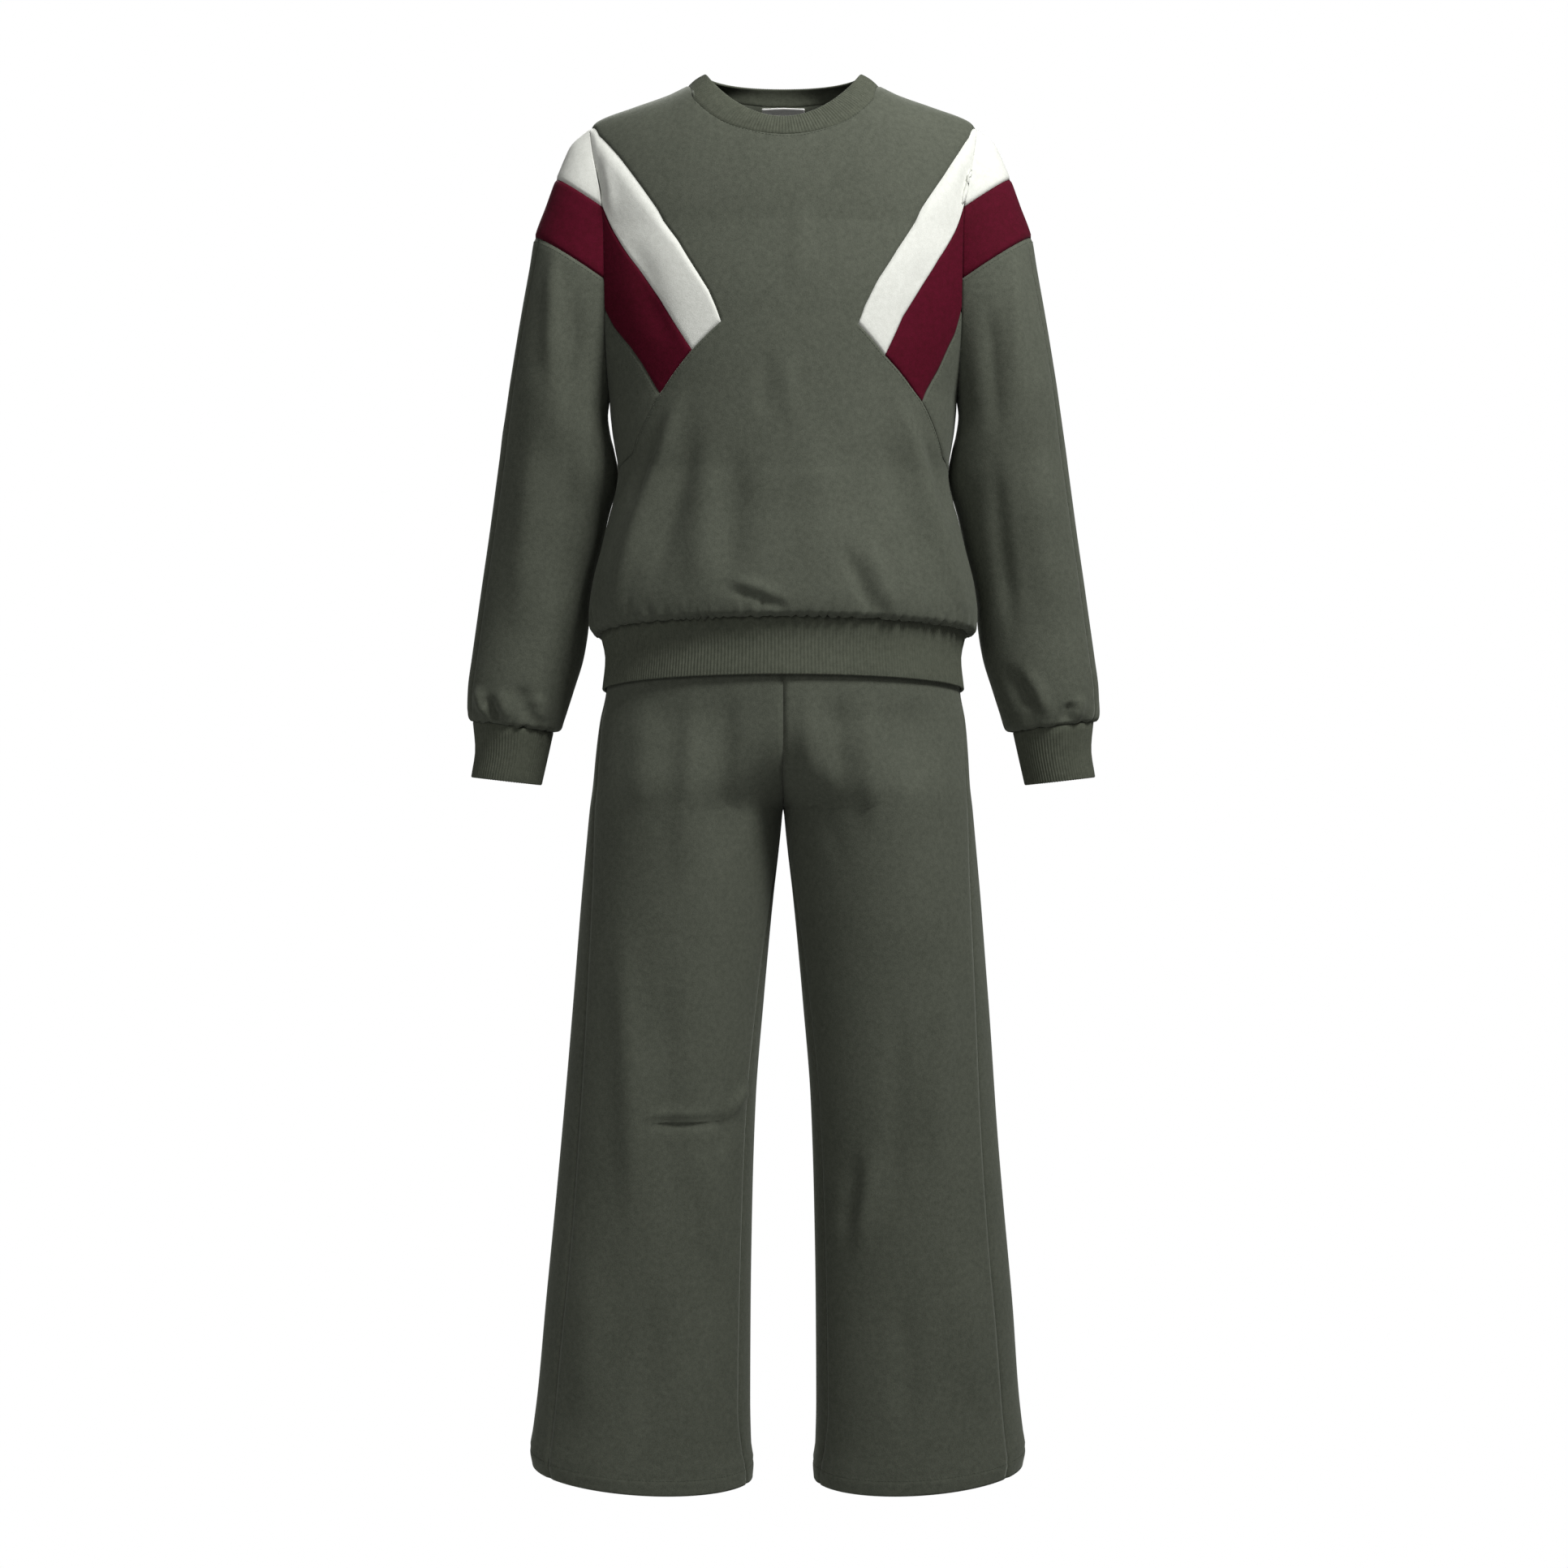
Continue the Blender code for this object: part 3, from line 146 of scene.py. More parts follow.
RIGHT_SEAMS = {
    "white_top": ((184, -51.2), (174.4, -65.6), (159.2, -88.8), (136.8, -121.6),
                  (113.6, -160.8), (93.6, -192), (80.8, -217.6), (74.4, -235.2)),
    "white_end": ((74.4, -235.2), (100.8, -266.4)),
    "white_bottom": ((170.4, -144), (153.6, -172), (136.8, -200.8), (119.2, -228.8),
                     (100.8, -266.4)),
    "burgundy_end": ((100.8, -266.4), (137.6, -312)),
    "burgundy_bottom": ((169.6, -246.4), (164, -257.6), (153.6, -280.8),
                        (137.6, -312)),
    "slant": ((137.6, -312), (147.2, -332), (153.6, -350.4), (158, -368)),
}
# Neck seam: its half width on the shoulder, its drop at the back, and its samples
NECK_SHOULDER = 94.0
BACK_NECK_DROP = math.radians(26)
NECK_SAMPLES = 120

# The two body panels: the share of a half row that lies under the shoulder seam, how
# far below the neck the rows still bend with it, and how fast that bend fades
NECK_SHARE = 0.22
BEND_FALL = 200.0
BEND_POWER = 2.0

# Sleeve silhouette seen from the front: height, distance from the middle
SLEEVE_OUTER = ((-44, 191), (-60, 209), (-72, 215), (-84, 220), (-96, 225),
                (-120, 233.6), (-152, 245), (-180, 249.6), (-244, 260.8),
                (-308, 271.2), (-372, 281.6), (-436, 291.2), (-500, 300.8),
                (-564, 309.6), (-596, 313.4), (-612, 313.8), (-620, 313),
                (-625, 311), (-626.5, 308), (-627, 305))
SLEEVE_INNER = ((-312, 171), (-326, 172.8), (-345, 170.5), (-359, 167),
                (-385, 163), (-400, 166), (-412, 170), (-430, 175),
                (-453, 180), (-498, 190.5), (-536, 194),
                (-564, 198.5), (-596, 208), (-612, 213), (-626, 217.5),
                (-634, 220.5), (-637, 224), (SLEEVE_END, 231))
# Each sleeve section runs from a height on the inner side to one on the outer side
SLEEVE_SECTIONS = ((-44, -44), (SLEEVE_WHITE_END, -94), (SLEEVE_BURGUNDY_END, -152),
                   (BODY_BURGUNDY_END, -186), (ARMPIT, -288), (-385, -366),
                   (-453, -438), (-536, -522), (-596, -585), (-626, -616),
                   (-634, -623.5), (-637, -626), (SLEEVE_END, -627))
# Sleeve: inner height, half depth, middle behind the shoulder line
SLEEVE_DEPTH = (
    (SLEEVE_END, 36, 24),
    (-637, 40, 24),
    (-634, 43, 24),
    (-596, 50, 26),
    (-536, 55, 30),
    (-480, 58, 29),
    (-430, 60, 24),
    (-385, 61, 16),
    (-345, 61, 6),
    (-312, 60, 0),
    (-255, 60, 0),
    (-200, 57, 0),
    (-150, 52, 0),
)
OVERARM = math.radians(28)
OVERARM_FROM = math.radians(112)
OVERARM_SHARE = -0.25
UNDERARM_POWER = 0.6

# Cuff: share of its length, inner x, inner z, outer x, outer z, half depth
CUFF = (
    (0.0, 228.4, -638.6, 308.2, -627.9, 39),
    (0.5, 234, -664, 306, -654, 35),
    (1.0, 240, -690.4, 310, -682.4, 34),
)
CUFF_MIDDLE_Y = 24.0

# Hem band: share of its height, half width, depth front, depth back
HEM_BAND = (
    (0.0, 180.4, 118.4, 114.4),
    (0.45, 175.4, 114.5, 110.5),
    (1.0, 178.4, 117.4, 113.4),
)
HEM_BAND_TOP = HEM_SEAM - SEAM_GAP
HEM_BAND_TILT = 12.0

# Collar
COLLAR_TOP_HALF_WIDTH = 76.0
COLLAR_TOP_FRONT = -84.0
COLLAR_TOP_BACK = 41.0
COLLAR_TOP_SIDE_HEIGHT = 5.5
COLLAR_TOP_DIP = 53.5
COLLAR_DIP_POWER = 1.7
COLLAR_BULGE = 1.2
COLLAR_UNDER = 1.0
# Columns each way that give the direction of the collar's edge
COLLAR_SLOPE_COLUMNS = 8

# Label: its gap from the cloth, how far it starts above the seam, its cells, the way it
# faces, and how it curls down its length and across
LABEL_HALF_WIDTH = 21.5
LABEL_HEIGHT = 38.0
LABEL_THICK = 0.7
LABEL_GAP = 3.1
LABEL_ABOVE = 1.0
LABEL_CELLS = (24, 20)
LABEL_FACES = (0, 1.0, 0.3)
LABEL_CURL = (0.5, 0.25, 2.4)

# Trousers: height, outer x, inner x, half depth front, half depth back
LEG = (
    (LEG_HEM, 247, 30, 84, 82),
    (LEG_HEM_STITCH, 249.4, 29, 85, 83),
    (-1330, 246.5, 31.5, 84, 82),
    (-1290, 241.5, 32.4, 83, 82),
    (-1200, 233.5, 32, 82, 84),
    (-1100, 224, 30.4, 82, 86),
    (-1000, 215, 27, 85, 89),
    (-900, 206.5, 19, 89, 95),
    (-800, 198.5, 9.6, 95, 103),
    (-756, 194.5, 4.5, 98, 107),
    (-724, 191.5, 1.2, 101, 110),
    (-714, 190.5, 0.4, 102, 110),
    (-692, 187.5, 0, 106, 111),
    (-660, 184.5, 0, 108, 111),
    (-628, 180.5, 0, 111, 110),
    (-600, 174.5, 0, 112, 108.5),
    (-580, 172.5, 0, 111.5, 107.5),
    (-555, 172, 0, 111, 107),
    (-500, 156, 0, 101, 100),
    (-444, 136, 0, 92, 92),
)
# The right leg hangs a little narrower: height, how much
RIGHT_LEG_NARROWER = ((LEG_HEM, 11), (-1300, 10), (-1200, 8), (-1050, 7), (-900, 4.5),
                      (-724, 4), (-600, 0))
RISE_BLEND = 95.0
RISE_POWER = 1.5
RISE_ROUND = 0.3
# Leg seams as angles round the leg from its outermost line: height, outer, inner
LEG_SEAMS = (
    (LEG_HEM, 36, 162),
    (-1330, 36, 158),
    (-1290, 36, 154),
    (-1160, 38, 155),
    (-1000, 36, 157),
    (-880, 32, 161),
    (-790, 28, 170),
    (-714, 20, 180),
    (-650, 12, 180),
    (-600, 6, 180),
    (-444, 4, 180),
)
# How far the leg hem's outer and front points differ from its height
HEM_OUTER_RISE = 7.0
HEM_FRONT_DROP = 7.0
HEM_SWEEP_START = -1000.0

# Waistband: half width, half depth
WAISTBAND = (136.0, 92.0)

# Soft folds seen from the front, in the plane of the outlines: half width, height
# (below zero for a trough), then the places along it as (x, z)
BODY_FRONT_FOLDS = (
    (10, 3.6, ((-97, -294), (-107, -321), (-116, -359), (-126, -387), (-140, -427), (-174, -532))),
    (13, -2.4, ((-84, -330), (-98, -380), (-112, -430), (-130, -500))),
    (7, -1.6, ((-120, -330), (-134, -372), (-150, -420))),
    (10, 3.2, ((110, -302), (122, -335), (134, -376), (146, -415), (160, -460), (184, -530))),
    (13, -2.2, ((96, -335), (112, -390), (126, -440), (140, -500))),
    (7, -1.4, ((138, -345), (152, -395), (164, -440))),
    (15, 1.8, ((-72, -360), (-78, -420), (-88, -505))),
    (16, -2.2, ((-46, -350), (-50, -430), (-56, -515))),
    (20, 1.7, ((30, -330), (34, -420), (38, -500))),
    (8, -2.4, ((60, -452), (78, -494), (94, -528))),
    (9, 2.0, ((82, -446), (97, -490), (112, -526))),
    (7, 1.3, ((-58, -484), (-30, -494), (6, -507))),
    (6, -1.2, ((-58, -496), (-26, -506), (8, -518))),
    (9, -0.9, ((-16, -262), (-20, -330))),
    (9, 0.9, ((3, -262), (8, -340))),
    (12, 1.2, ((20, -110), (14, -200))),
    (6, -0.8, ((-186, -68), (-181, -95), (-176, -122))),
    (6, 0.7, ((-178, -70), (-172, -100), (-168, -130))),
    (6, -0.8, ((184, -72), (179, -100), (176, -126))),
    (14, -1.4, ((-150, -150), (-128, -215), (-110, -262))),
    (14, -1.2, ((146, -160), (128, -220), (114, -262))),
)
BODY_BACK_FOLDS = (
    (12, 3.0, ((-128, -330), (-140, -400), (-160, -500))),
    (14, -2.6, ((-96, -340), (-108, -420), (-122, -510))),
    (11, 2.8, ((122, -316), (136, -392), (152, -505))),
    (13, -2.2, ((92, -360), (100, -440), (112, -515))),
    (18, 2.0, ((-40, -380), (-46, -515))),
    (14, -2.0, ((8, -400), (2, -515))),
    (18, 1.8, ((52, -390), (58, -505))),
    (20, -1.6, ((-110, -90), (-60, -128), (0, -140), (70, -124), (112, -92))),
    (18, 1.4, ((-90, -150), (-30, -176), (40, -172), (96, -146))),
    (8, -1.5, ((-166, -240), (-140, -290), (-120, -320))),
    (8, -1.3, ((162, -252), (140, -292), (126, -322))),
)
SLEEVE_FRONT_FOLDS = (
    (9, 2.6, ((-226, -158), (-227, -220), (-230, -300))),
    (10, -2.0, ((-204, -200), (-208, -270), (-214, -340))),
    (14, 2.2, ((-246, -330), (-252, -430), (-262, -540))),
    (10, -2.4, ((-206, -350), (-212, -440), (-226, -540))),
    (4, -3.2, ((-293, -600), (-288, -616), (-279, -630))),
    (5, 2.6, ((-302, -592), (-297, -610), (-290, -626))),
    (6, 2.0, ((-281, -594), (-276, -612), (-270, -628))),
    (8, -1.8, ((-262, -590), (-254, -612), (-249, -630))),
    (6, 1.8, ((-243, -598), (-238, -628))),
    (9, 2.2, ((228, -162), (230, -230), (232, -310))),
    (10, -2.2, ((202, -206), (206, -280), (212, -350))),
    (14, 2.0, ((250, -340), (256, -430), (268, -545))),
    (9, -2.2, ((208, -360), (214, -450), (228, -548))),
    (4, -2.8, ((285, -606), (281, -618), (277, -631))),
    (5, 2.2, ((294, -600), (289, -628))),
    (8, -2.4, ((217, -572), (232, -596), (250, -622))),
    (7, 2.0, ((238, -574), (252, -598), (264, -626))),
)
SLEEVE_BACK_FOLDS = (
    (12, 2.4, ((-236, -180), (-240, -280))),
    (10, -2.2, ((-214, -260), (-226, -340), (-236, -380))),
    (12, 2.4, ((-236, -300), (-262, -345), (-272, -372))),
    (10, -2.4, ((-226, -400), (-248, -470), (-254, -540))),
    (6, -2.6, ((-272, -590), (-268, -630))),
    (6, 2.2, ((-256, -584), (-254, -630))),
    (12, 2.2, ((232, -190), (238, -290))),
    (10, -2.4, ((218, -280), (232, -352), (244, -392))),
    (12, 2.2, ((234, -320), (258, -356), (276, -380))),
    (10, -2.2, ((232, -410), (250, -480), (258, -548))),
    (6, -2.4, ((262, -592), (264, -630))),
    (6, 2.0, ((282, -588), (280, -628))),
)
LEG_FRONT_FOLDS = (
    (14, 2.8, ((-158, -820), (-155, -900), (-150, -1010), (-149, -1132))),
    (16, -1.8, ((-118, -860), (-112, -1000), (-106, -1150))),
    (3.4, -2.0, ((-146, -1022), (-110, -1024), (-69, -1024), (-46, -1023), (-36, -1030))),
    (4.5, 1.5, ((-140, -1015), (-100, -1016), (-66, -1016))),
    (5, 2.2, ((-54, -1016), (-44, -1002), (-34, -984))),
    (5, -1.8, ((-66, -1012), (-58, -1030), (-62, -1060))),
    (12, 1.8, ((-84, -1040), (-72, -1100), (-66, -1180))),
    (12, -2.4, ((-56, -590), (-58, -660), (-66, -780))),
    (11, 2.0, ((-88, -590), (-92, -670), (-100, -800))),
    (16, 1.8, ((-134, -604), (-142, -720))),
    (10, 2.6, ((25, -592), (25, -650), (30, -720))),
    (9, -2.4, ((54, -596), (55, -650), (58, -700))),
    (10, 2.6, ((84, -594), (84, -660), (90, -740))),
    (14, -1.8, ((126, -600), (132, -700))),
    (9, -0.7, ((-12, -640), (-34, -700), (-62, -770))),
    (9, -0.7, ((12, -640), (36, -706), (62, -780))),
    (12, 2.8, ((162, -850), (159, -950), (151, -1014), (148, -1070))),
    (14, -1.8, ((116, -900), (112, -1010), (108, -1120))),
    (8, -2.2, ((73, -1050), (66, -1096), (60, -1142))),
    (9, 2.0, ((90, -1046), (82, -1100), (74, -1160))),
    (18, 1.6, ((-190, -1150), (-196, -1330))),
    (18, 1.6, ((176, -1140), (186, -1320))),
    (14, -1.5, ((-130, -1180), (-134, -1340))),
    (14, -1.5, ((120, -1190), (122, -1335))),
)
LEG_BACK_FOLDS = (
    (12, -2.8, ((-52, -600), (-56, -690))),
    (14, 2.4, ((-92, -600), (-98, -720))),
    (10, -2.2, ((-24, -720), (-60, -776), (-104, -806))),
    (14, 2.6, ((-116, -860), (-112, -980), (-108, -1130))),
    (14, -2.4, ((-72, -900), (-74, -1060))),
    (8, -2.6, ((-158, -976), (-110, -992), (-64, -984))),
    (10, 2.2, ((-150, -956), (-106, -968), (-66, -962))),
    (16, 2.0, ((-170, -1140), (-176, -1330))),
    (16, -1.8, ((-104, -1170), (-106, -1340))),
    (12, -2.6, ((46, -600), (50, -684))),
    (14, 2.4, ((86, -600), (94, -730))),
    (10, -2.2, ((26, -726), (64, -784), (108, -816))),
    (14, 2.4, ((112, -870), (110, -1000), (104, -1140))),
    (14, -2.2, ((70, -890), (72, -1050))),
    (8, -2.4, ((150, -992), (112, -1004), (70, -994))),
    (16, 2.0, ((160, -1150), (168, -1325))),
    (16, -1.8, ((98, -1180), (100, -1335))),
)
BODY_FOLDS = (BODY_FRONT_FOLDS, BODY_BACK_FOLDS)
SLEEVE_FOLDS = (SLEEVE_FRONT_FOLDS, SLEEVE_BACK_FOLDS)
LEG_FOLDS = (LEG_FRONT_FOLDS, LEG_BACK_FOLDS)
# Where a piece turns from its front folds to its back ones, as outward y
TURN = 0.35
# Places inside the body and the right leg, and how far inside the sleeve's middle one is
BODY_INSIDE = (0, 0, -300)
LEG_INSIDE_X = 130
SLEEVE_INSIDE = (10, 12)
# Every fold's rise is as its table says, times this
FOLD_SCALE = 2.3
# How fast a fold fades in and out along itself, how much of it its ends keep, and how
# wide it is at its ends against its middle
FOLD_FADE = 2.4
FOLD_END = 0.12
FOLD_END_WIDTH = 0.65

# Small puckers at a gathered seam: how many, how deep, shortest and longest reach
HEM_PUCKERS = (44, 2.6, 12.0, 46.0)
CUFF_PUCKERS = (16, 2.2, 9.0, 28.0)
CUFF_PUCKER_RISE = 2.0
# Ranges of one pucker: step to the next, share of its reach, lean, width, share of its depth
PUCKER_STEP = (0.55, 1.5)
PUCKER_REACH = (0.6, 1.0)
PUCKER_LEAN = (-0.35, 0.35)
PUCKER_WIDTH = (2.2, 4.6)
PUCKER_DEPTH = (0.35, 1.0)
# Its cross-section, a trough between two ridges: place in widths, height
PUCKER_WAVES = ((1.3, 0.75), (0.0, -1.0), (-1.5, 0.5))
PUCKER_SPREAD = 0.6
PUCKER_BELOW = -8.0
FRONT_SEED = 11
BACK_SEED = 12
SLEEVE_SEED = 21

# Seams: how deep and how wide the cloth sinks beside them
SEAM_SINK = 1.1
SEAM_WIDTH = 2.0
# Where the two legs' pieces meet, they face straight out within this distance
VALLEY = 7.0
# How far and how deep a rib piece runs on under the cloth that it is sewn to
UNDER_REACH = 3.0
UNDER_DEPTH = 2.6
# Groove of the leg hem's stitching: depth, width
HEM_GROOVE = (0.7, 1.6)
# Topstitches: distance from the seam and its most as a share of the panel's width,
# pitch, length, thread radius, sides, and the thread's size at its ends and middle
STITCH_AWAY = 4.0
STITCH_MOST_SHARE = 0.45
STITCH_PITCH = 3.4
STITCH_LENGTH = 2.5
THREAD = 0.32
STITCH_SIDES = 5
STITCH_SIZES = (0.45, 1.0, 0.45)
STITCH_RAISED = 0.25

# Fine cells of the cloth, and how many samples find the even spacing of one
SAMPLES_A_CELL = 8
BODY_COLUMNS = 150
WHITE_ROWS = 24
BURGUNDY_ROWS = 26
SIDE_ROWS = 24
BAND_COLUMNS = 60
SIDE_SEAM_ROWS = 20
LOWER_ROWS = 30
GATHER_ROWS = 24
SLEEVE_FRONT_COLUMNS = 32
SLEEVE_BACK_COLUMNS = 52
SLEEVE_TOP_ROWS = 24
SLEEVE_BAND_ROWS = 18
SLEEVE_LONG_ROWS = 84
SLEEVE_END_ROWS = 26
SLEEVE_END_START = -590.0
# Powers that crowd the sleeve's rows: at the shoulder, and above the cuff
SLEEVE_TOP_CROWDING = 1.6
SLEEVE_END_CROWDING = 0.7
LEG_FRONT_COLUMNS = 42
LEG_BACK_COLUMNS = 78
RISE_ROWS = 54
LEG_ROWS = 112
HEM_ROWS = 7
BACK_ARM_ROWS = 66

# Ribs: how many round each piece, height, samples a rib, rows up the piece
COLLAR_RIBS = 210
HEM_RIBS = 318
CUFF_RIBS = 80
WAIST_RIBS = 160
WAIST_ROWS = 4
RIB_HEIGHT = 0.55
RIB_SAMPLES = 6
RIB_ROWS = 7
EDGE_ROWS = 6
RIB_THICK = 2.8
# Rows over which the ribs rise from their seam, and how high they are on it
RIB_RISE_ROWS = 1.2
RIB_AT_SEAM = 0.25


# Tables and curves
def smooth(share):
    share = np.clip(share, 0.0, 1.0)
    return share * share * (3 - 2 * share)


@functools.lru_cache(maxsize=None)
def curve_of(table, column):
    """Places, values and slopes of a curve that never swings past its values."""
    rows = sorted(table)
    places = np.array([row[0] for row in rows], float)
    values = np.array([row[column] for row in rows], float)
    steps = np.diff(values) / np.diff(places)
    slopes = np.zeros(len(places))
    slopes[0] = steps[0]
    slopes[-1] = steps[-1]
    for index in range(1, len(places) - 1):
        before = steps[index - 1]
        after = steps[index]
        if before * after > 0:
            slopes[index] = 2 * before * after / (before + after)
    return places, values, slopes


def from_table(table, place, column=1):
    """Smooth value of a column at a place, or an array of places, in the first column."""
    places, values, slopes = curve_of(table, column)
    place = np.clip(place, places[0], places[-1])
    index = np.clip(np.searchsorted(places, place, side="right") - 1, 0, len(places) - 2)
    width = places[index + 1] - places[index]
    share = (place - places[index]) / width
    squared = share * share
    cubed = squared * share
    return ((2 * cubed - 3 * squared + 1) * values[index]
            + (cubed - 2 * squared + share) * width * slopes[index]
            + (3 * squared - 2 * cubed) * values[index + 1]
            + (cubed - squared) * width * slopes[index + 1])


def unit(vectors):
    length = np.linalg.norm(vectors, axis=-1, keepdims=True)
    return vectors / np.maximum(TINY, length)


def lengths_along(points):
    """How far along its line each point lies."""
    return np.r_[0, np.cumsum(np.linalg.norm(np.diff(points, axis=0), axis=1))]


def evenly(values, lengths, cells):
    """Rows of values, given at these lengths, at even steps of length."""
    wanted = np.linspace(0, lengths[-1], cells + 1)
    return np.column_stack([np.interp(wanted, lengths, column) for column in values.T])


# Torso. A chart place on it is an angle round it from the middle, and a chart height,
# which counts from ROUND_START: straight down below it, and above it along an arc that
# rises to the shoulder line at RIDGE.
def shoulder_height(x):
    return from_table(SHOULDER, np.abs(x))


def round_share(z):
    """Half depth of the armhole over the shoulder, as a share of its depth below."""
    x = from_table(ARMHOLE, z)
    rise = (z - ROUND_START) / (shoulder_height(x) - ROUND_START)
    reach = np.sqrt(np.maximum(0.0, 1 - rise * rise))
    return reach * np.sqrt(np.maximum(0.0, 1 - (x / ROUND_WIDTH) ** 2))


def arm_angle(z):
    """How far round the sleeve its section reaches before it meets the armhole."""
    over = np.arcsin(np.clip(ROUND_WIDTH_HALF_DEPTH * round_share(np.maximum(z, ROUND_START)), 0, 1))
    share = np.clip((z - ARMPIT) / (ROUND_START - ARMPIT), 0, 1)
    under = math.pi - math.pi / 2 * share ** UNDERARM_POWER
    return np.where(np.asarray(z) >= ROUND_START, over, under)


ARM_HALF_DEPTH = from_table(SLEEVE_DEPTH, ROUND_START)
ARMHOLE_AT_ROUND = from_table(ARMHOLE, ROUND_START)
ROUND_WIDTH = ARMHOLE_AT_ROUND / math.sqrt(1 - (ARM_HALF_DEPTH / ROUND_DEPTH) ** 2)
ROUND_WIDTH_HALF_DEPTH = ROUND_DEPTH / ARM_HALF_DEPTH
RIDGE = ROUND_SCALE * math.pi / 2


def half_width(z, depth):
    half = from_table(SLEEVE_DEPTH, z) * np.sin(arm_angle(z))
    beside = from_table(ARMHOLE, z) / np.sqrt(np.maximum(0.01, 1 - (half / depth) ** 2))
    below = np.where(z <= ARMPIT, from_table(TORSO, z), beside)
    return np.where(z >= ROUND_START, ROUND_WIDTH, below)


def torso(side, around, up):
    """Points of the torso: side -1 front or 1 back, angles from the middle, chart heights."""
    around = np.asarray(around, float)
    up = np.minimum(np.asarray(up, float), RIDGE)
    rise = np.maximum(up, 0) / ROUND_SCALE
    high_x = ROUND_WIDTH * np.sin(around)
    high_z = ROUND_START + (shoulder_height(high_x) - ROUND_START) * np.sin(rise)
    high_y = side * ROUND_DEPTH * np.cos(around) * np.cos(rise)
    z = ROUND_START + np.minimum(up, 0)
    depth = from_table(TORSO, z, 2 if side < 0 else 3)
    tilt = HEM_TILT * smooth((HEM_TILT_START - z) / (HEM_TILT_START - HEM_SEAM))
    low_x = half_width(z, depth) * np.sin(around)
    low_z = np.maximum(z, HEM_SEAM) - side * tilt * np.cos(around)
    low_y = side * depth * np.cos(around)
    high = np.stack([high_x, high_y, high_z], axis=-1)
    low = np.stack([low_x, low_y, low_z], axis=-1)
    return np.where((up > 0)[..., None], high, low)


def chart(side, x, z):
    """Angle and chart height of the torso point at x and z."""
    if z > ROUND_START:
        rise = (z - ROUND_START) / (shoulder_height(x) - ROUND_START)
        return math.asin(np.clip(x / ROUND_WIDTH, -1, 1)), ROUND_SCALE * math.asin(min(1.0, rise))
    depth = from_table(TORSO, z, 2 if side < 0 else 3)
    return math.asin(np.clip(x / half_width(z, depth), -1, 1)), z - ROUND_START


def seen_from_front(x, z):
    """Chart place of the front point that shows at x and z in the front view."""
    y = 0.0
    place = chart(-1, x, z)
    for _ in range(VIEW_ROUNDS):
        near = (EYE_DISTANCE + y) / EYE_DISTANCE
        place = chart(-1, x * near, EYE_HEIGHT + (z - EYE_HEIGHT) * near)
        y = 0.5 * y + 0.5 * torso(-1, *place)[1]
    return place


def at_armhole(side, z):
    x = from_table(ARMHOLE, z)
    if z > SHOULDER[-1][1] - TINY:
        return math.asin(x / ROUND_WIDTH), RIDGE
    return chart(side, x, z)


# Sleeve, right arm
def sleeve(angle, inner_z):
    """Points of the sleeve: angles from its outermost line, to the front below zero."""
    outer_z = from_table(SLEEVE_SECTIONS, inner_z)
    outer = np.stack([from_table(SLEEVE_OUTER, outer_z), outer_z], axis=-1)
    inner_x = np.where(inner_z > ARMPIT, from_table(ARMHOLE, inner_z),
                       from_table(SLEEVE_INNER, inner_z))
    inner = np.stack([inner_x, inner_z], axis=-1)
    reach = np.linalg.norm(outer - inner, axis=-1)[..., None]
    lean = (outer - inner) / np.maximum(reach, TINY)
    half = reach / np.maximum(TINY, 1 - np.cos(arm_angle(inner_z)))[..., None]
    flat = outer - lean * half * (1 - np.cos(angle))[..., None]
    y = (from_table(SLEEVE_DEPTH, inner_z, 2)
         + from_table(SLEEVE_DEPTH, inner_z) * np.sin(angle))
    return np.stack([flat[..., 0], y, flat[..., 1]], axis=-1)


def sleeve_angle(share, inner_z):
    """Angles at shares round the sleeve: -1 and 1 underarm or armhole."""
    reach = arm_angle(inner_z)
    overarm = -OVERARM * np.minimum(1.0, reach / OVERARM_FROM)
    front = -reach + (overarm + reach) * (share + 1) / (1 + OVERARM_SHARE)
    back = overarm + (reach - overarm) * (share - OVERARM_SHARE) / (1 - OVERARM_SHARE)
    return np.where(share < OVERARM_SHARE, front, back)


# Trousers, right leg
def leg_share(z):
    """How far the two legs have parted: 0 at the hip and 1 at the crotch."""
    above = np.clip((z - CROTCH) / RISE_BLEND, 0, 1)
    above = np.minimum(1.0, np.hypot(above, RISE_ROUND) - RISE_ROUND * (1 - above))
    return (1 - above) ** RISE_POWER


def leg(angle, z, half_name):
    """Points of the trousers: angles from the outermost line, to the front above zero."""
    outer = from_table(LEG, z)
    if half_name == "right":
        outer = outer - from_table(RIGHT_LEG_NARROWER, z)
    inner = from_table(LEG, z, 2)
    share = leg_share(z)
    above = z >= CROTCH
    half = np.where(above, outer / (1 + share), (outer - inner) / 2)
    middle = np.where(above, share * half, (outer + inner) / 2)
    depth = np.where(np.sin(angle) > 0, from_table(LEG, z, 3), from_table(LEG, z, 4))
    sweep = smooth((HEM_SWEEP_START - z) / (HEM_SWEEP_START - LEG_HEM))
    drop = HEM_OUTER_RISE * np.cos(angle) - HEM_FRONT_DROP * np.maximum(0, np.sin(angle))
    return np.stack([middle + half * np.cos(angle), -depth * np.sin(angle), z + sweep * drop],
                    axis=-1)


def leg_edges(z):
    """Angles of the outer seam, the front's inner edge and the back's inner edge."""
    outer = np.radians(from_table(LEG_SEAMS, z))
    middle = np.arccos(-leg_share(z))
    inner = np.radians(from_table(LEG_SEAMS, z, 2))
    above = z >= CROTCH
    return outer, np.where(above, middle, inner), np.where(above, -middle, inner - 2 * math.pi)


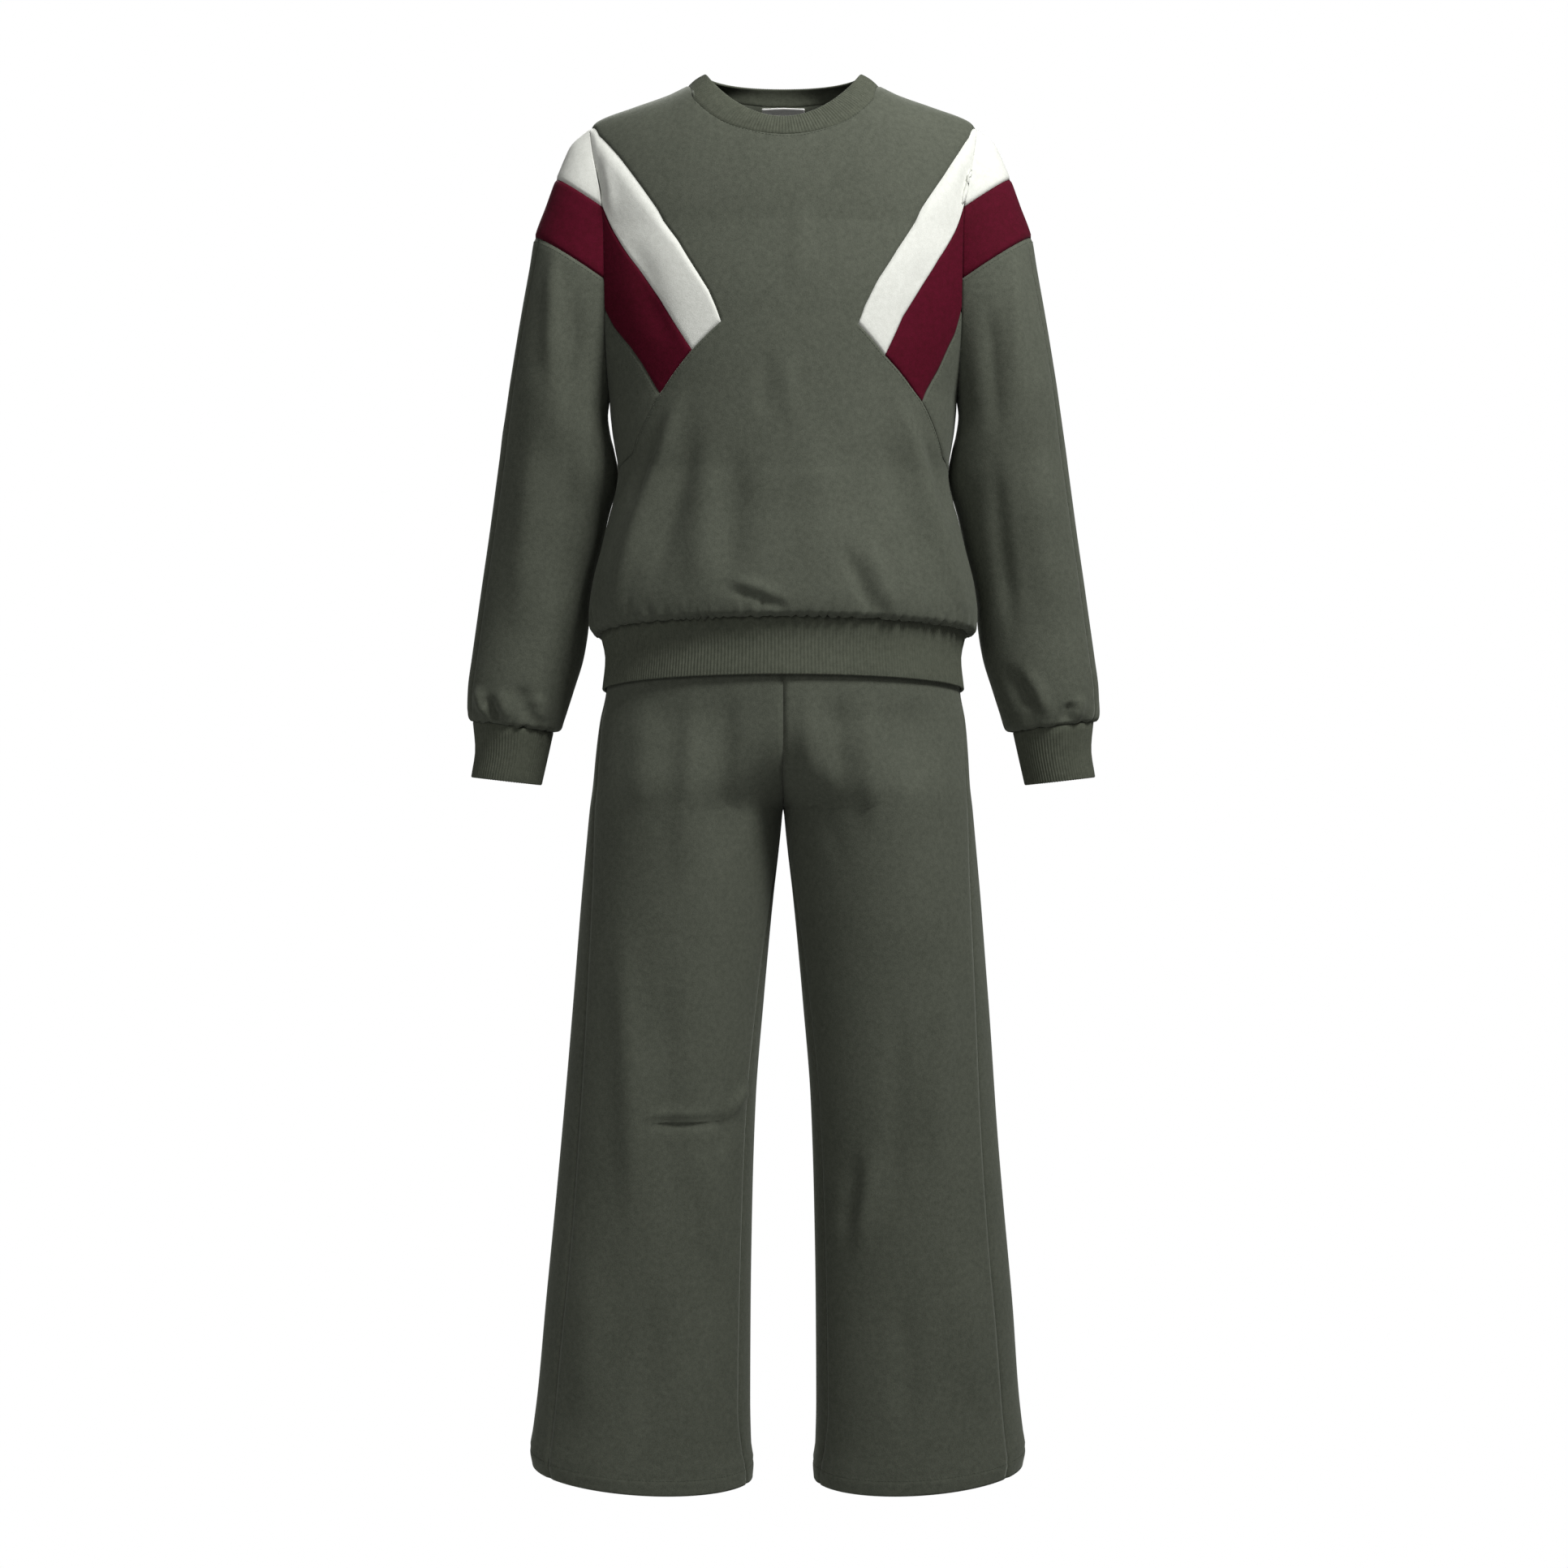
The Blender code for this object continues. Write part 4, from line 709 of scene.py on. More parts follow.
# Folds, puckers and seams, as heights over the plain form
def polyline_place(places, line):
    """Distance of each place from a polyline, and how far along it its nearest point is."""
    line = np.array(line, float)
    steps = np.diff(line, axis=0)
    lengths = np.linalg.norm(steps, axis=1)
    before = np.r_[0, np.cumsum(lengths)]
    best = np.full(places.shape[:-1], np.inf)
    share = np.zeros(places.shape[:-1])
    for start, step, length, gone in zip(line, steps, lengths, before):
        part = np.clip((places - start) @ step / length ** 2, 0, 1)
        away = np.linalg.norm(places - start - part[..., None] * step, axis=-1)
        nearer = away < best
        best = np.where(nearer, away, best)
        share = np.where(nearer, (gone + part * length) / before[-1], share)
    return best, share


def strokes(places, folds):
    """Height of all the folds at each place: each one fades along itself and across."""
    height = np.zeros(places.shape[:-1])
    for width, rise, line in folds:
        away, share = polyline_place(places, line)
        fade = smooth(FOLD_FADE * share + FOLD_END) * smooth(FOLD_FADE * (1 - share) + FOLD_END)
        thin = FOLD_END_WIDTH + (1 - FOLD_END_WIDTH) * fade
        height += rise * fade * np.exp(-(away / (width * thin)) ** 2)
    return height


def soft_folds(points, normals, front, back):
    """Height of the front's folds, and of the back's where the cloth faces away."""
    near = (EYE_DISTANCE + points[..., 1]) / EYE_DISTANCE
    places = np.stack([points[..., 0] / near,
                       (points[..., 2] - EYE_HEIGHT) / near + EYE_HEIGHT], axis=-1)
    to_front = smooth(0.5 - normals[..., 1] / (2 * TURN))
    return to_front * strokes(places, front) + (1 - to_front) * strokes(places, back)


def puckers(across, above, span, kind, seed):
    """Short uneven troughs and ridges that start at a gathered seam at above = 0."""
    count, depth, shortest, longest = kind
    dice = random.Random(seed)
    height = np.zeros(across.shape)
    place = -span / 2
    while place < span / 2:
        place += span / count * dice.uniform(*PUCKER_STEP)
        reach = dice.uniform(shortest, longest) * dice.uniform(*PUCKER_REACH)
        lean = dice.uniform(*PUCKER_LEAN)
        width = dice.uniform(*PUCKER_WIDTH)
        deep = depth * dice.uniform(*PUCKER_DEPTH)
        fade = smooth(1 - above / reach) * (above > PUCKER_BELOW)
        spread = width * (1 + PUCKER_SPREAD * above / reach)
        away = (across - place - lean * above) / spread
        height += fade * deep * sum(rise * np.exp(-(away - middle) ** 2)
                                    for middle, rise in PUCKER_WAVES)
    return height


def grid_normals(points):
    """Outward or inward directions of a grid of points, from its neighbours.

    A first row that is all one point takes the directions of the row below it.
    """
    down = np.gradient(points, axis=0)
    across = np.gradient(points, axis=1)
    normals = np.cross(down, across)
    size = np.linalg.norm(normals, axis=-1)
    if size[0].max() < GATHERED_ROW:
        normals[0] = normals[1]
    return unit(normals)


def edge_distance(points, edges):
    """Distance of each grid point from the named edges of the grid."""
    rows = np.linalg.norm(np.diff(points, axis=0), axis=-1)
    columns = np.linalg.norm(np.diff(points, axis=1), axis=-1)
    down = np.vstack([np.zeros(points.shape[1]), np.cumsum(rows, axis=0)])
    across = np.hstack([np.zeros((points.shape[0], 1)), np.cumsum(columns, axis=1)])
    found = {"top": down, "bottom": down[-1:] - down, "start": across,
             "end": across[:, -1:] - across}
    nearest = np.full(points.shape[:2], FAR)
    for edge in edges:
        nearest = np.minimum(nearest, found[edge])
    return nearest


# Meshes
def new_piece(name, vertices, faces, look):
    mesh = bpy.data.meshes.new(name)
    mesh.from_pydata((np.asarray(vertices) * MM).tolist(), [], faces)
    mesh.polygons.foreach_set("use_smooth", [True] * len(mesh.polygons))
    mesh.materials.append(finishes[look])
    made = bpy.data.objects.new(name, mesh)
    bpy.context.scene.collection.objects.link(made)
    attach(made, "root")
    return made


def declare(made, node, slot, **how):
    """Hides the imported solid that a piece stands for. Its material slot and its flat cut are not
    used.
    """
    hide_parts(node)


def grid_faces(rows, columns, first, turned, closed=False):
    """Quads of a grid of points whose first index is given, closed both ways or open."""
    index = first + np.arange(rows * columns).reshape(rows, columns)
    if closed:
        index = np.pad(index, ((0, 1), (0, 1)), mode="wrap")
    quads = np.stack([index[:-1, :-1], index[:-1, 1:], index[1:, 1:], index[1:, :-1]], axis=-1)
    quads = quads.reshape(-1, 4)
    return quads[:, ::-1] if turned else quads


def shell(name, outer, normals, thick, look, flip=1.0):
    """A thin closed sheet: outer points, their directions and the thickness inward."""
    rows, columns = outer.shape[:2]
    thick = np.broadcast_to(np.asarray(thick, float), (rows, columns))[..., None]
    inner = outer - normals * thick
    vertices = np.concatenate([outer.reshape(-1, 3), inner.reshape(-1, 3)]) * (flip, 1, 1)
    facing = np.cross(np.gradient(outer, axis=0), np.gradient(outer, axis=1))
    turned = (float((facing * normals).sum()) > 0) == (flip > 0)
    under = rows * columns
    faces = grid_faces(rows, columns, 0, turned).tolist()
    faces += grid_faces(rows, columns, under, not turned).tolist()
    index = np.arange(rows * columns).reshape(rows, columns)
    loop = np.concatenate([index[0], index[1:, -1], index[-1, -2::-1], index[-2:0:-1, 0]])
    after = np.roll(loop, -1)
    rim = np.stack([loop, loop + under, after + under, after], axis=-1)
    faces += (rim[:, ::-1] if turned else rim).tolist()
    return new_piece(name, vertices, faces, look)


def cloth(node, slot, points, folds, edges, inside, flip=1.0, extra=0.0, thick=WALL,
          valley=None):
    """A panel: plain points, then its folds, its puckers and its sunk seams."""
    normals = grid_normals(points)
    if valley is not None:
        normals = unit(normals * np.stack([valley, np.ones(valley.shape), valley], axis=-1))
    middle = points[points.shape[0] // 2, points.shape[1] // 2]
    away = middle - np.array(inside)
    if float(np.dot(normals[points.shape[0] // 2, points.shape[1] // 2], away)) < 0:
        normals = -normals
    height = FOLD_SCALE * soft_folds(points * (flip, 1, 1), normals, *folds) + extra
    sink = SEAM_SINK * np.exp(-(edge_distance(points, edges) / SEAM_WIDTH) ** 2)
    outer = points + normals * (height - sink)[..., None]
    made = shell(f"{node}_cloth", outer, grid_outward(outer, normals), thick, slot, flip)
    declare(made, node, slot, held="draped")
    return outer, normals


def grid_outward(points, like):
    """Directions of the folded cloth, on the side that the plain ones point to."""
    normals = grid_normals(points)
    sign = np.sign((normals * like).sum(axis=-1, keepdims=True))
    return normals * np.where(sign == 0, 1.0, sign)


# Cloth finishes: dark tone, light tone, size of the grain, its height, sheen, tint of the
# sheen, and how the grain is drawn out along x, y and z
NAP_TINT = (0.75, 0.80, 0.68)
GRAIN = (1.0, 1.0, 0.6)
RIB_GRAIN = (1.0, 1.0, 0.4)
ROUND_GRAIN = (1.0, 1.0, 1.0)
FINISHES = {
    "fleece_green": ((0.060, 0.066, 0.050), (0.102, 0.110, 0.085), 1500.0, 0.35, 0.14,
                     NAP_TINT, GRAIN),
    "fleece_burgundy": ((0.050, 0.001, 0.006), (0.088, 0.002, 0.014), 1500.0, 0.3, 0.06,
                        (0.8, 0.25, 0.34), GRAIN),
    "fleece_white": ((0.60, 0.61, 0.56), (0.73, 0.74, 0.69), 1500.0, 0.3, 0.1,
                     (1, 1, 1), GRAIN),
    "rib_green": ((0.056, 0.062, 0.045), (0.098, 0.106, 0.079), 1900.0, 0.25, 0.12,
                  NAP_TINT, RIB_GRAIN),
    "label_white": ((0.84, 0.84, 0.81), (0.92, 0.92, 0.89), 2600.0, 0.12, 0.0,
                    (1, 1, 1), ROUND_GRAIN),
    "thread_green": ((0.045, 0.052, 0.038), (0.080, 0.090, 0.068), 2600.0, 0.1, 0.1,
                     NAP_TINT, ROUND_GRAIN),
}
# Tones: the shares of fine grain, middling and broad mottling, the detail of the grain,
# size and detail of the others, and where the dark tone ends and the light one starts
TONE_SHARES = (0.5, 0.32, 0.18)
GRAIN_DETAIL = 3.0
MIDDLING = (210.0, 4.0)
BROAD = (9.0, 2.0)
DARK_UNTIL = 0.36
LIGHT_FROM = 0.64
GRAIN_STRENGTH = 0.55
NAP_STRENGTH = 0.35
NAP_HEIGHT = 0.5
ROUGHNESS = 0.88
SPECULAR = 0.12
SHEEN_ROUGHNESS = 0.45


def noise(nodes, links, place, scale, detail, stretch=(1, 1, 1)):
    mapping = nodes.new("ShaderNodeMapping")
    mapping.inputs["Scale"].default_value = stretch
    links.new(place, mapping.inputs["Vector"])
    made = nodes.new("ShaderNodeTexNoise")
    made.inputs["Scale"].default_value = scale
    made.inputs["Detail"].default_value = detail
    links.new(mapping.outputs["Vector"], made.inputs["Vector"])
    return made.outputs["Fac"]


def finish(name, dark, light, grain, grain_height, sheen, sheen_tint, stretch):
    """Brushed knit cloth: two tones mottled at three sizes, a raised grain and a soft nap."""
    made = bpy.data.materials.new(name)
    made.use_nodes = True
    nodes = made.node_tree.nodes
    links = made.node_tree.links
    shader = nodes["Principled BSDF"]
    place = nodes.new("ShaderNodeTexCoord").outputs["Object"]
    fine = noise(nodes, links, place, grain, GRAIN_DETAIL, stretch)
    middle = noise(nodes, links, place, *MIDDLING)
    broad = noise(nodes, links, place, *BROAD)
    total = None
    for source, share in zip((fine, middle, broad), TONE_SHARES):
        part = nodes.new("ShaderNodeMath")
        part.operation = "MULTIPLY_ADD"
        part.inputs[1].default_value = share
        links.new(source, part.inputs[0])
        if total is None:
            part.inputs[2].default_value = 0.0
        else:
            links.new(total, part.inputs[2])
        total = part.outputs[0]
    ramp = nodes.new("ShaderNodeValToRGB")
    for end, position, colour in zip(ramp.color_ramp.elements, (DARK_UNTIL, LIGHT_FROM),
                                     (dark, light)):
        end.position = position
        end.color = (*colour, 1.0)
    links.new(total, ramp.inputs["Fac"])
    links.new(ramp.outputs["Color"], shader.inputs["Base Color"])
    raised = []
    for source, strength, height in ((fine, GRAIN_STRENGTH, grain_height),
                                     (middle, NAP_STRENGTH, NAP_HEIGHT)):
        bump = nodes.new("ShaderNodeBump")
        bump.inputs["Strength"].default_value = strength
        bump.inputs["Distance"].default_value = height * MM
        links.new(source, bump.inputs["Height"])
        raised.append(bump)
    grain_bump, nap_bump = raised
    links.new(grain_bump.outputs["Normal"], nap_bump.inputs["Normal"])
    links.new(nap_bump.outputs["Normal"], shader.inputs["Normal"])
    for socket, value in (("Roughness", ROUGHNESS), ("Specular IOR Level", SPECULAR),
                          ("Sheen Weight", sheen), ("Sheen Roughness", SHEEN_ROUGHNESS),
                          ("Sheen Tint", (*sheen_tint, 1.0))):
        shader.inputs[socket].default_value = value
    return made


# Builders
def spaced(places, cells, side):
    """The chart places at even real spacing along their line."""
    drawn = np.array(places, float) * (ROUND_SCALE, 1)
    fine = evenly(drawn, lengths_along(drawn), SAMPLES_A_CELL * cells) / (ROUND_SCALE, 1)
    return evenly(fine, lengths_along(torso(side, fine[:, 0], fine[:, 1])), cells)


def seam_places(outline, cells, first=None, last=None):
    places = [seen_from_front(x, z) for x, z in outline]
    if first is not None:
        places = [first] + places
    if last is not None:
        places = places + [last]
    return spaced(places, cells, -1)


ARM_TOP = at_armhole(-1, SHOULDER[-1][1])
ARM_WHITE = at_armhole(-1, SLEEVE_WHITE_END)
ARM_BURGUNDY = at_armhole(-1, BODY_BURGUNDY_END)
SIDE_ARMPIT = (math.pi / 2, ARMPIT - ROUND_START)
SIDE_SLANT = (math.pi / 2, SLANT_END - ROUND_START)
SHOULDER_NECK = (math.asin(NECK_SHOULDER / ROUND_WIDTH), RIDGE)


def seam_lines(seams):
    """The front seams of one half as chart places, finely sampled."""
    return {
        "white_top": seam_places(seams["white_top"], BAND_COLUMNS, first=ARM_TOP),
        "white_end": seam_places(seams["white_end"], WHITE_ROWS),
        "white_bottom": seam_places(seams["white_bottom"], BAND_COLUMNS, first=ARM_WHITE),
        "burgundy_end": seam_places(seams["burgundy_end"], BURGUNDY_ROWS),
        "burgundy_bottom": seam_places(seams["burgundy_bottom"], BAND_COLUMNS,
                                       first=ARM_BURGUNDY),
        "slant": seam_places(seams["slant"], SIDE_ROWS, last=SIDE_SLANT),
        "side_seam": np.column_stack([np.full(BAND_COLUMNS + 1, math.pi / 2),
                                      np.linspace(SIDE_ARMPIT[1], SIDE_SLANT[1],
                                                  BAND_COLUMNS + 1)]),
    }


def armhole_line(side, top, bottom, cells):
    return np.array([at_armhole(side, z) for z in np.linspace(top, bottom, cells + 1)])


def patch(start, end, first, last):
    """Chart grid between four seams: start and end run down, first and last along."""
    v = np.linspace(0, 1, len(start))[:, None, None]
    u = np.linspace(0, 1, len(first))[None, :, None]
    ruled = ((1 - u) * start[:, None] + u * end[:, None]
             + (1 - v) * first[None] + v * last[None])
    flat = ((1 - v) * ((1 - u) * start[0] + u * end[0])
            + v * ((1 - u) * start[-1] + u * end[-1]))
    return ruled - flat


def top_edge(side):
    """Shares and chart places of the shoulder and neck seams, from left to right."""
    shares = np.linspace(0, 1, BODY_COLUMNS + 1)
    half = np.minimum(shares, 1 - shares)
    out = np.clip(half / NECK_SHARE, 0, 1)
    around = ARM_TOP[0] + (SHOULDER_NECK[0] - ARM_TOP[0]) * out
    up = np.full(len(shares), RIDGE)
    neck = half > NECK_SHARE
    inward = np.clip((half - NECK_SHARE) / (0.5 - NECK_SHARE), 0, 1)
    neck_around, neck_up = neck_places(side, 1 - inward)
    around = np.where(neck, neck_around, around)
    up = np.where(neck, neck_up, up)
    return np.column_stack([np.where(shares < 0.5, -around, around), up])


def neck_places(side, share):
    """Chart places of the neck seam: share 0 in the middle and 1 at the shoulder."""
    if side < 0:
        steps = np.linspace(1, 0, len(NECK_FRONT))[::-1]
        line = NECK_FRONT[::-1]
        return np.interp(share, steps, line[:, 0]), np.interp(share, steps, line[:, 1])
    angle = share * math.pi / 2
    rise = math.pi / 2 - BACK_NECK_DROP * np.cos(angle)
    return np.arcsin(NECK_SHOULDER * np.sin(angle) / ROUND_WIDTH), ROUND_SCALE * rise


NECK_FRONT = seam_places(NECK_SEAM[1:], NECK_SAMPLES, first=SHOULDER_NECK)
NECK_FRONT[-1, 0] = 0.0


def body_grid(side, left, right):
    """Chart grid of a whole-width panel; its top rows follow the neck and then level out."""
    top = top_edge(side)
    shares = np.linspace(0, 1, BODY_COLUMNS + 1)[:, None]
    ends = (1 - shares) * top[0] + shares * top[-1]
    rows = [top]
    for number in range(1, len(right)):
        level = (1 - shares) * (left[number] * (-1, 1)) + shares * right[number]
        fallen = top[0, 1] - (left[number][1] + right[number][1]) / 2
        bend = max(0.0, 1.0 - fallen / BEND_FALL) ** BEND_POWER
        row = level + bend * (top - ends)
        row[0] = level[0]
        row[-1] = level[-1]
        rows.append(row)
    return np.array(rows)


def lower_edge():
    heights = np.r_[np.linspace(SLANT_END, GATHER_START, LOWER_ROWS + 1)[1:],
                    np.linspace(GATHER_START, TURNED_UNDER, GATHER_ROWS + 1)[1:]]
    return np.column_stack([np.full(len(heights), math.pi / 2), heights - ROUND_START])


def hem_puckers(points, up, seed):
    """Puckers of the body above the rib hem."""
    around = np.arctan2(points[..., 0], -points[..., 1])
    across = np.where(np.abs(around) > math.pi / 2,
                      np.sign(around) * math.pi - around, around) * HEM_BAND[0][1]
    above = up + ROUND_START - HEM_SEAM
    return puckers(across, above, math.pi * HEM_BAND[0][1], HEM_PUCKERS, seed)


def build_body():
    pieces = {}
    lower = lower_edge()
    fronts = {}
    for half, seams in (("left", LEFT_SEAMS), ("right", RIGHT_SEAMS)):
        lines = seam_lines(seams)
        fronts[half] = np.concatenate([lines["white_top"], lines["white_end"][1:],
                                       lines["burgundy_end"][1:], lines["slant"][1:], lower])
        starts = (armhole_line(-1, SHOULDER[-1][1], SLEEVE_WHITE_END, WHITE_ROWS),
                  armhole_line(-1, SLEEVE_WHITE_END, BODY_BURGUNDY_END, BURGUNDY_ROWS),
                  armhole_line(-1, BODY_BURGUNDY_END, ARMPIT, SIDE_ROWS))
        panels = (("white_band", "white_end", "white_top", "white_bottom", "fleece_white"),
                  ("burgundy_band", "burgundy_end", "white_bottom", "burgundy_bottom",
                   "fleece_burgundy"),
                  ("side_panel", "slant", "burgundy_bottom", "side_seam", "fleece_green"))
        for start, (name, end, first, last, slot) in zip(starts, panels):
            grid = patch(start, lines[end], lines[first], lines[last])
            points = torso(-1, grid[..., 0], grid[..., 1])
            node = f"{name}_{half}"
            pieces[node] = cloth(node, slot, points, BODY_FOLDS, ("top", "bottom", "end"),
                                 BODY_INSIDE, dict(HALVES)[half])
    arm = armhole_line(1, SHOULDER[-1][1], ARMPIT, BACK_ARM_ROWS)
    side_seam = np.column_stack([np.full(SIDE_SEAM_ROWS, math.pi / 2),
                                 np.linspace(SIDE_ARMPIT[1], SIDE_SLANT[1],
                                             SIDE_SEAM_ROWS + 1)[1:]])
    edge = np.concatenate([arm, side_seam, lower])
    for node, side, left, right, seed in (
            ("front_body", -1, fronts["left"], fronts["right"], FRONT_SEED),
            ("back_body", 1, edge, edge, BACK_SEED)):
        grid = body_grid(side, left, right)
        points = torso(side, grid[..., 0], grid[..., 1])
        pieces[node] = cloth(node, "fleece_green", points, BODY_FOLDS,
                             ("top", "bottom", "start", "end"), BODY_INSIDE,
                             extra=hem_puckers(points, grid[..., 1], seed))
    return pieces


def crowded(start, end, rows, power):
    """Heights from start to end, crowded at the start above a power of 1 and at the end below."""
    return start + (end - start) * np.linspace(0, 1, rows + 1) ** power


def build_sleeves():
    pieces = {}
    front = np.linspace(-1, OVERARM_SHARE, SLEEVE_FRONT_COLUMNS + 1)
    back = np.linspace(OVERARM_SHARE, 1, SLEEVE_BACK_COLUMNS + 1)
    around = np.r_[front, back[1:]]
    top = SHOULDER[-1][1]
    white = crowded(top, SLEEVE_WHITE_END, SLEEVE_TOP_ROWS, SLEEVE_TOP_CROWDING)
    burgundy = np.linspace(SLEEVE_WHITE_END, SLEEVE_BURGUNDY_END, SLEEVE_BAND_ROWS + 1)
    last = crowded(SLEEVE_END_START, SLEEVE_END, SLEEVE_END_ROWS, SLEEVE_END_CROWDING)
    green = np.r_[np.linspace(SLEEVE_BURGUNDY_END, SLEEVE_END_START, SLEEVE_LONG_ROWS + 1),
                  last[1:]]
    panels = (("sleeve_top", around, white, "fleece_white"),
              ("sleeve_band", around, burgundy, "fleece_burgundy"),
              ("sleeve_front", front, green, "fleece_green"),
              ("sleeve_back", back, green, "fleece_green"))
    for half, flip in HALVES:
        for name, shares, heights, slot in panels:
            share, z = np.meshgrid(shares, heights)
            points = sleeve(sleeve_angle(share, z), z)
            extra = 0.0
            if heights is green:
                across = share * math.pi * CUFF[0][5]
                extra = puckers(across, z - SLEEVE_END - CUFF_PUCKER_RISE,
                                2 * math.pi * CUFF[0][5], CUFF_PUCKERS,
                                SLEEVE_SEED + int(flip))
            node = f"{name}_{half}"
            edges = {"sleeve_front": ("top", "end"), "sleeve_back": ("top", "start")}
            pieces[node] = cloth(node, slot, points, SLEEVE_FOLDS,
                                 edges.get(name, ("top", "bottom")), arm_middle(heights),
                                 flip, extra)
    return pieces


def arm_middle(heights):
    """A place inside the sleeve at the middle one of these heights."""
    z = float(heights[len(heights) // 2])
    outer = from_table(SLEEVE_OUTER, from_table(SLEEVE_SECTIONS, z))
    inner = from_table(ARMHOLE, z) if z > ARMPIT else from_table(SLEEVE_INNER, z)
    return ((outer + inner) / 2 - SLEEVE_INSIDE[0], from_table(SLEEVE_DEPTH, z, 2),
            z - SLEEVE_INSIDE[1])


def build_legs():
    pieces = {}
    heights = np.r_[np.linspace(WAIST_SEAM, CROTCH, RISE_ROWS + 1),
                    np.linspace(CROTCH, LEG_HEM_STITCH, LEG_ROWS + 1)[1:],
                    np.linspace(LEG_HEM_STITCH, LEG_HEM, HEM_ROWS + 1)[1:]]
    outer, front, back = leg_edges(heights)
    thick = np.where(heights < LEG_HEM_STITCH, HEM_WALL, WALL)[:, None]
    depth, width = HEM_GROOVE
    groove = -depth * np.exp(-((heights - LEG_HEM_STITCH) / width) ** 2)[:, None]
    for half, flip in HALVES:
        for name, end, cells in (("trouser_front", front, LEG_FRONT_COLUMNS),
                                 ("trouser_back", back, LEG_BACK_COLUMNS)):
            share = np.linspace(0, 1, cells + 1)[None]
            angle = outer[:, None] + (end - outer)[:, None] * share
            z = np.repeat(heights[:, None], cells + 1, axis=1)
            points = leg(angle, z, half)
            node = f"{name}_{half}"
            valley = smooth(np.abs(points[..., 0]) / VALLEY)
            inside = (LEG_INSIDE_X, 0, float(points[len(points) // 2, 0, 2]))
            pieces[node] = cloth(node, "fleece_green", points, LEG_FOLDS, ("start", "end"),
                                 inside, flip, groove, thick, valley)
    return pieces


def turns(columns):
    """The angles of a ring's columns."""
    return 2 * math.pi * np.arange(columns) / columns


def oval(angle, width, depth, height):
    """A row of a level oval tube from its front middle on, and its outward directions."""
    x = np.sin(angle)
    y = -np.cos(angle)
    points = np.column_stack([width * x, depth * y, height])
    return points, unit(np.column_stack([x / width, y / depth, np.zeros(len(angle))]))


def ring(node, rows, directions, ribs, flip=1.0, under=UNDER_REACH):
    """A ribbed tube: rows of points from its seam to its free edge, with a rounded edge."""
    points = np.array(rows)
    out = np.array(directions)
    columns = points.shape[1]
    wave = np.cos(2 * math.pi * ribs * np.arange(columns) / columns)
    ridge = RIB_HEIGHT * (np.sqrt(np.abs(wave)) * np.sign(wave) * 0.5 - 0.5)
    seam_fade = smooth(np.arange(len(points)) / RIB_RISE_ROWS + RIB_AT_SEAM)[:, None]
    outer = points + out * (ridge * seam_fade)[..., None]
    radius = RIB_THICK / 2
    toward = unit(points[-1] - points[-2])
    centre = points[-1] - toward * radius - out[-1] * radius
    rounded = []
    for step in range(1, EDGE_ROWS):
        turn = math.pi * step / EDGE_ROWS
        reach = radius + ridge[:, None] * (0.5 + 0.5 * math.cos(turn))
        rounded.append(centre + out[-1] * reach * math.cos(turn)
                       + toward * reach * math.sin(turn))
    outer[-1] = centre + out[-1] * (radius + ridge[:, None])
    inner = points - out * RIB_THICK
    inner[-1] = centre - out[-1] * radius
    toward_edge = unit(points[1] - points[0])
    hidden = points[:1] - toward_edge * under - out[:1] * UNDER_DEPTH * under / UNDER_REACH
    under_side = hidden - out[:1] * RIB_THICK / 2
    stack = np.concatenate([hidden, outer, np.array(rounded), inner[::-1], under_side])
    vertices = stack.reshape(-1, 3) * (flip, 1, 1)
    facing = np.cross(np.gradient(points, axis=0), np.gradient(points, axis=1))
    turned = (float((facing * out).sum()) > 0) == (flip > 0)
    faces = grid_faces(len(stack), columns, 0, turned, closed=True).tolist()
    made = new_piece(f"{node}_rib", vertices, faces, "rib_green")
    declare(made, node, "rib_green", held="stretched")


def build_hem_band():
    angle = turns(HEM_RIBS * RIB_SAMPLES)
    front = -np.cos(angle)
    rows = []
    for share in np.linspace(0, 1, RIB_ROWS + 1):
        depth = np.where(front < 0, from_table(HEM_BAND, share, 2), from_table(HEM_BAND, share, 3))
        tilt = HEM_TILT + (HEM_BAND_TILT - HEM_TILT) * share
        height = HEM_BAND_TOP + (HEM_BOTTOM - HEM_BAND_TOP) * share
        rows.append(oval(angle, from_table(HEM_BAND, share), depth, height - tilt * front))
    points, directions = zip(*rows)
    ring("hem_band", points, directions, HEM_RIBS)


def build_cuffs():
    angle = turns(CUFF_RIBS * RIB_SAMPLES)
    for half, flip in HALVES:
        rows = []
        directions = []
        for share in np.linspace(0, 1, RIB_ROWS + 1):
            inner_x, inner_z, outer_x, outer_z, depth = (from_table(CUFF, share, column)
                                                         for column in range(1, 6))
            inner = np.array((inner_x, inner_z))
            outer = np.array((outer_x, outer_z))
            middle = (inner + outer) / 2
            reach = np.linalg.norm(outer - inner) / 2
            lean = (outer - inner) / (2 * reach)
            flat = middle + lean * reach * np.cos(angle)[:, None]
            rows.append(np.column_stack([flat[:, 0], CUFF_MIDDLE_Y + depth * np.sin(angle),
                                         flat[:, 1]]))
            outward = lean * (np.cos(angle) / reach)[:, None]
            directions.append(unit(np.column_stack([outward[:, 0], np.sin(angle) / depth,
                                                    outward[:, 1]])))
        ring(f"cuff_{half}", rows, directions, CUFF_RIBS, flip)


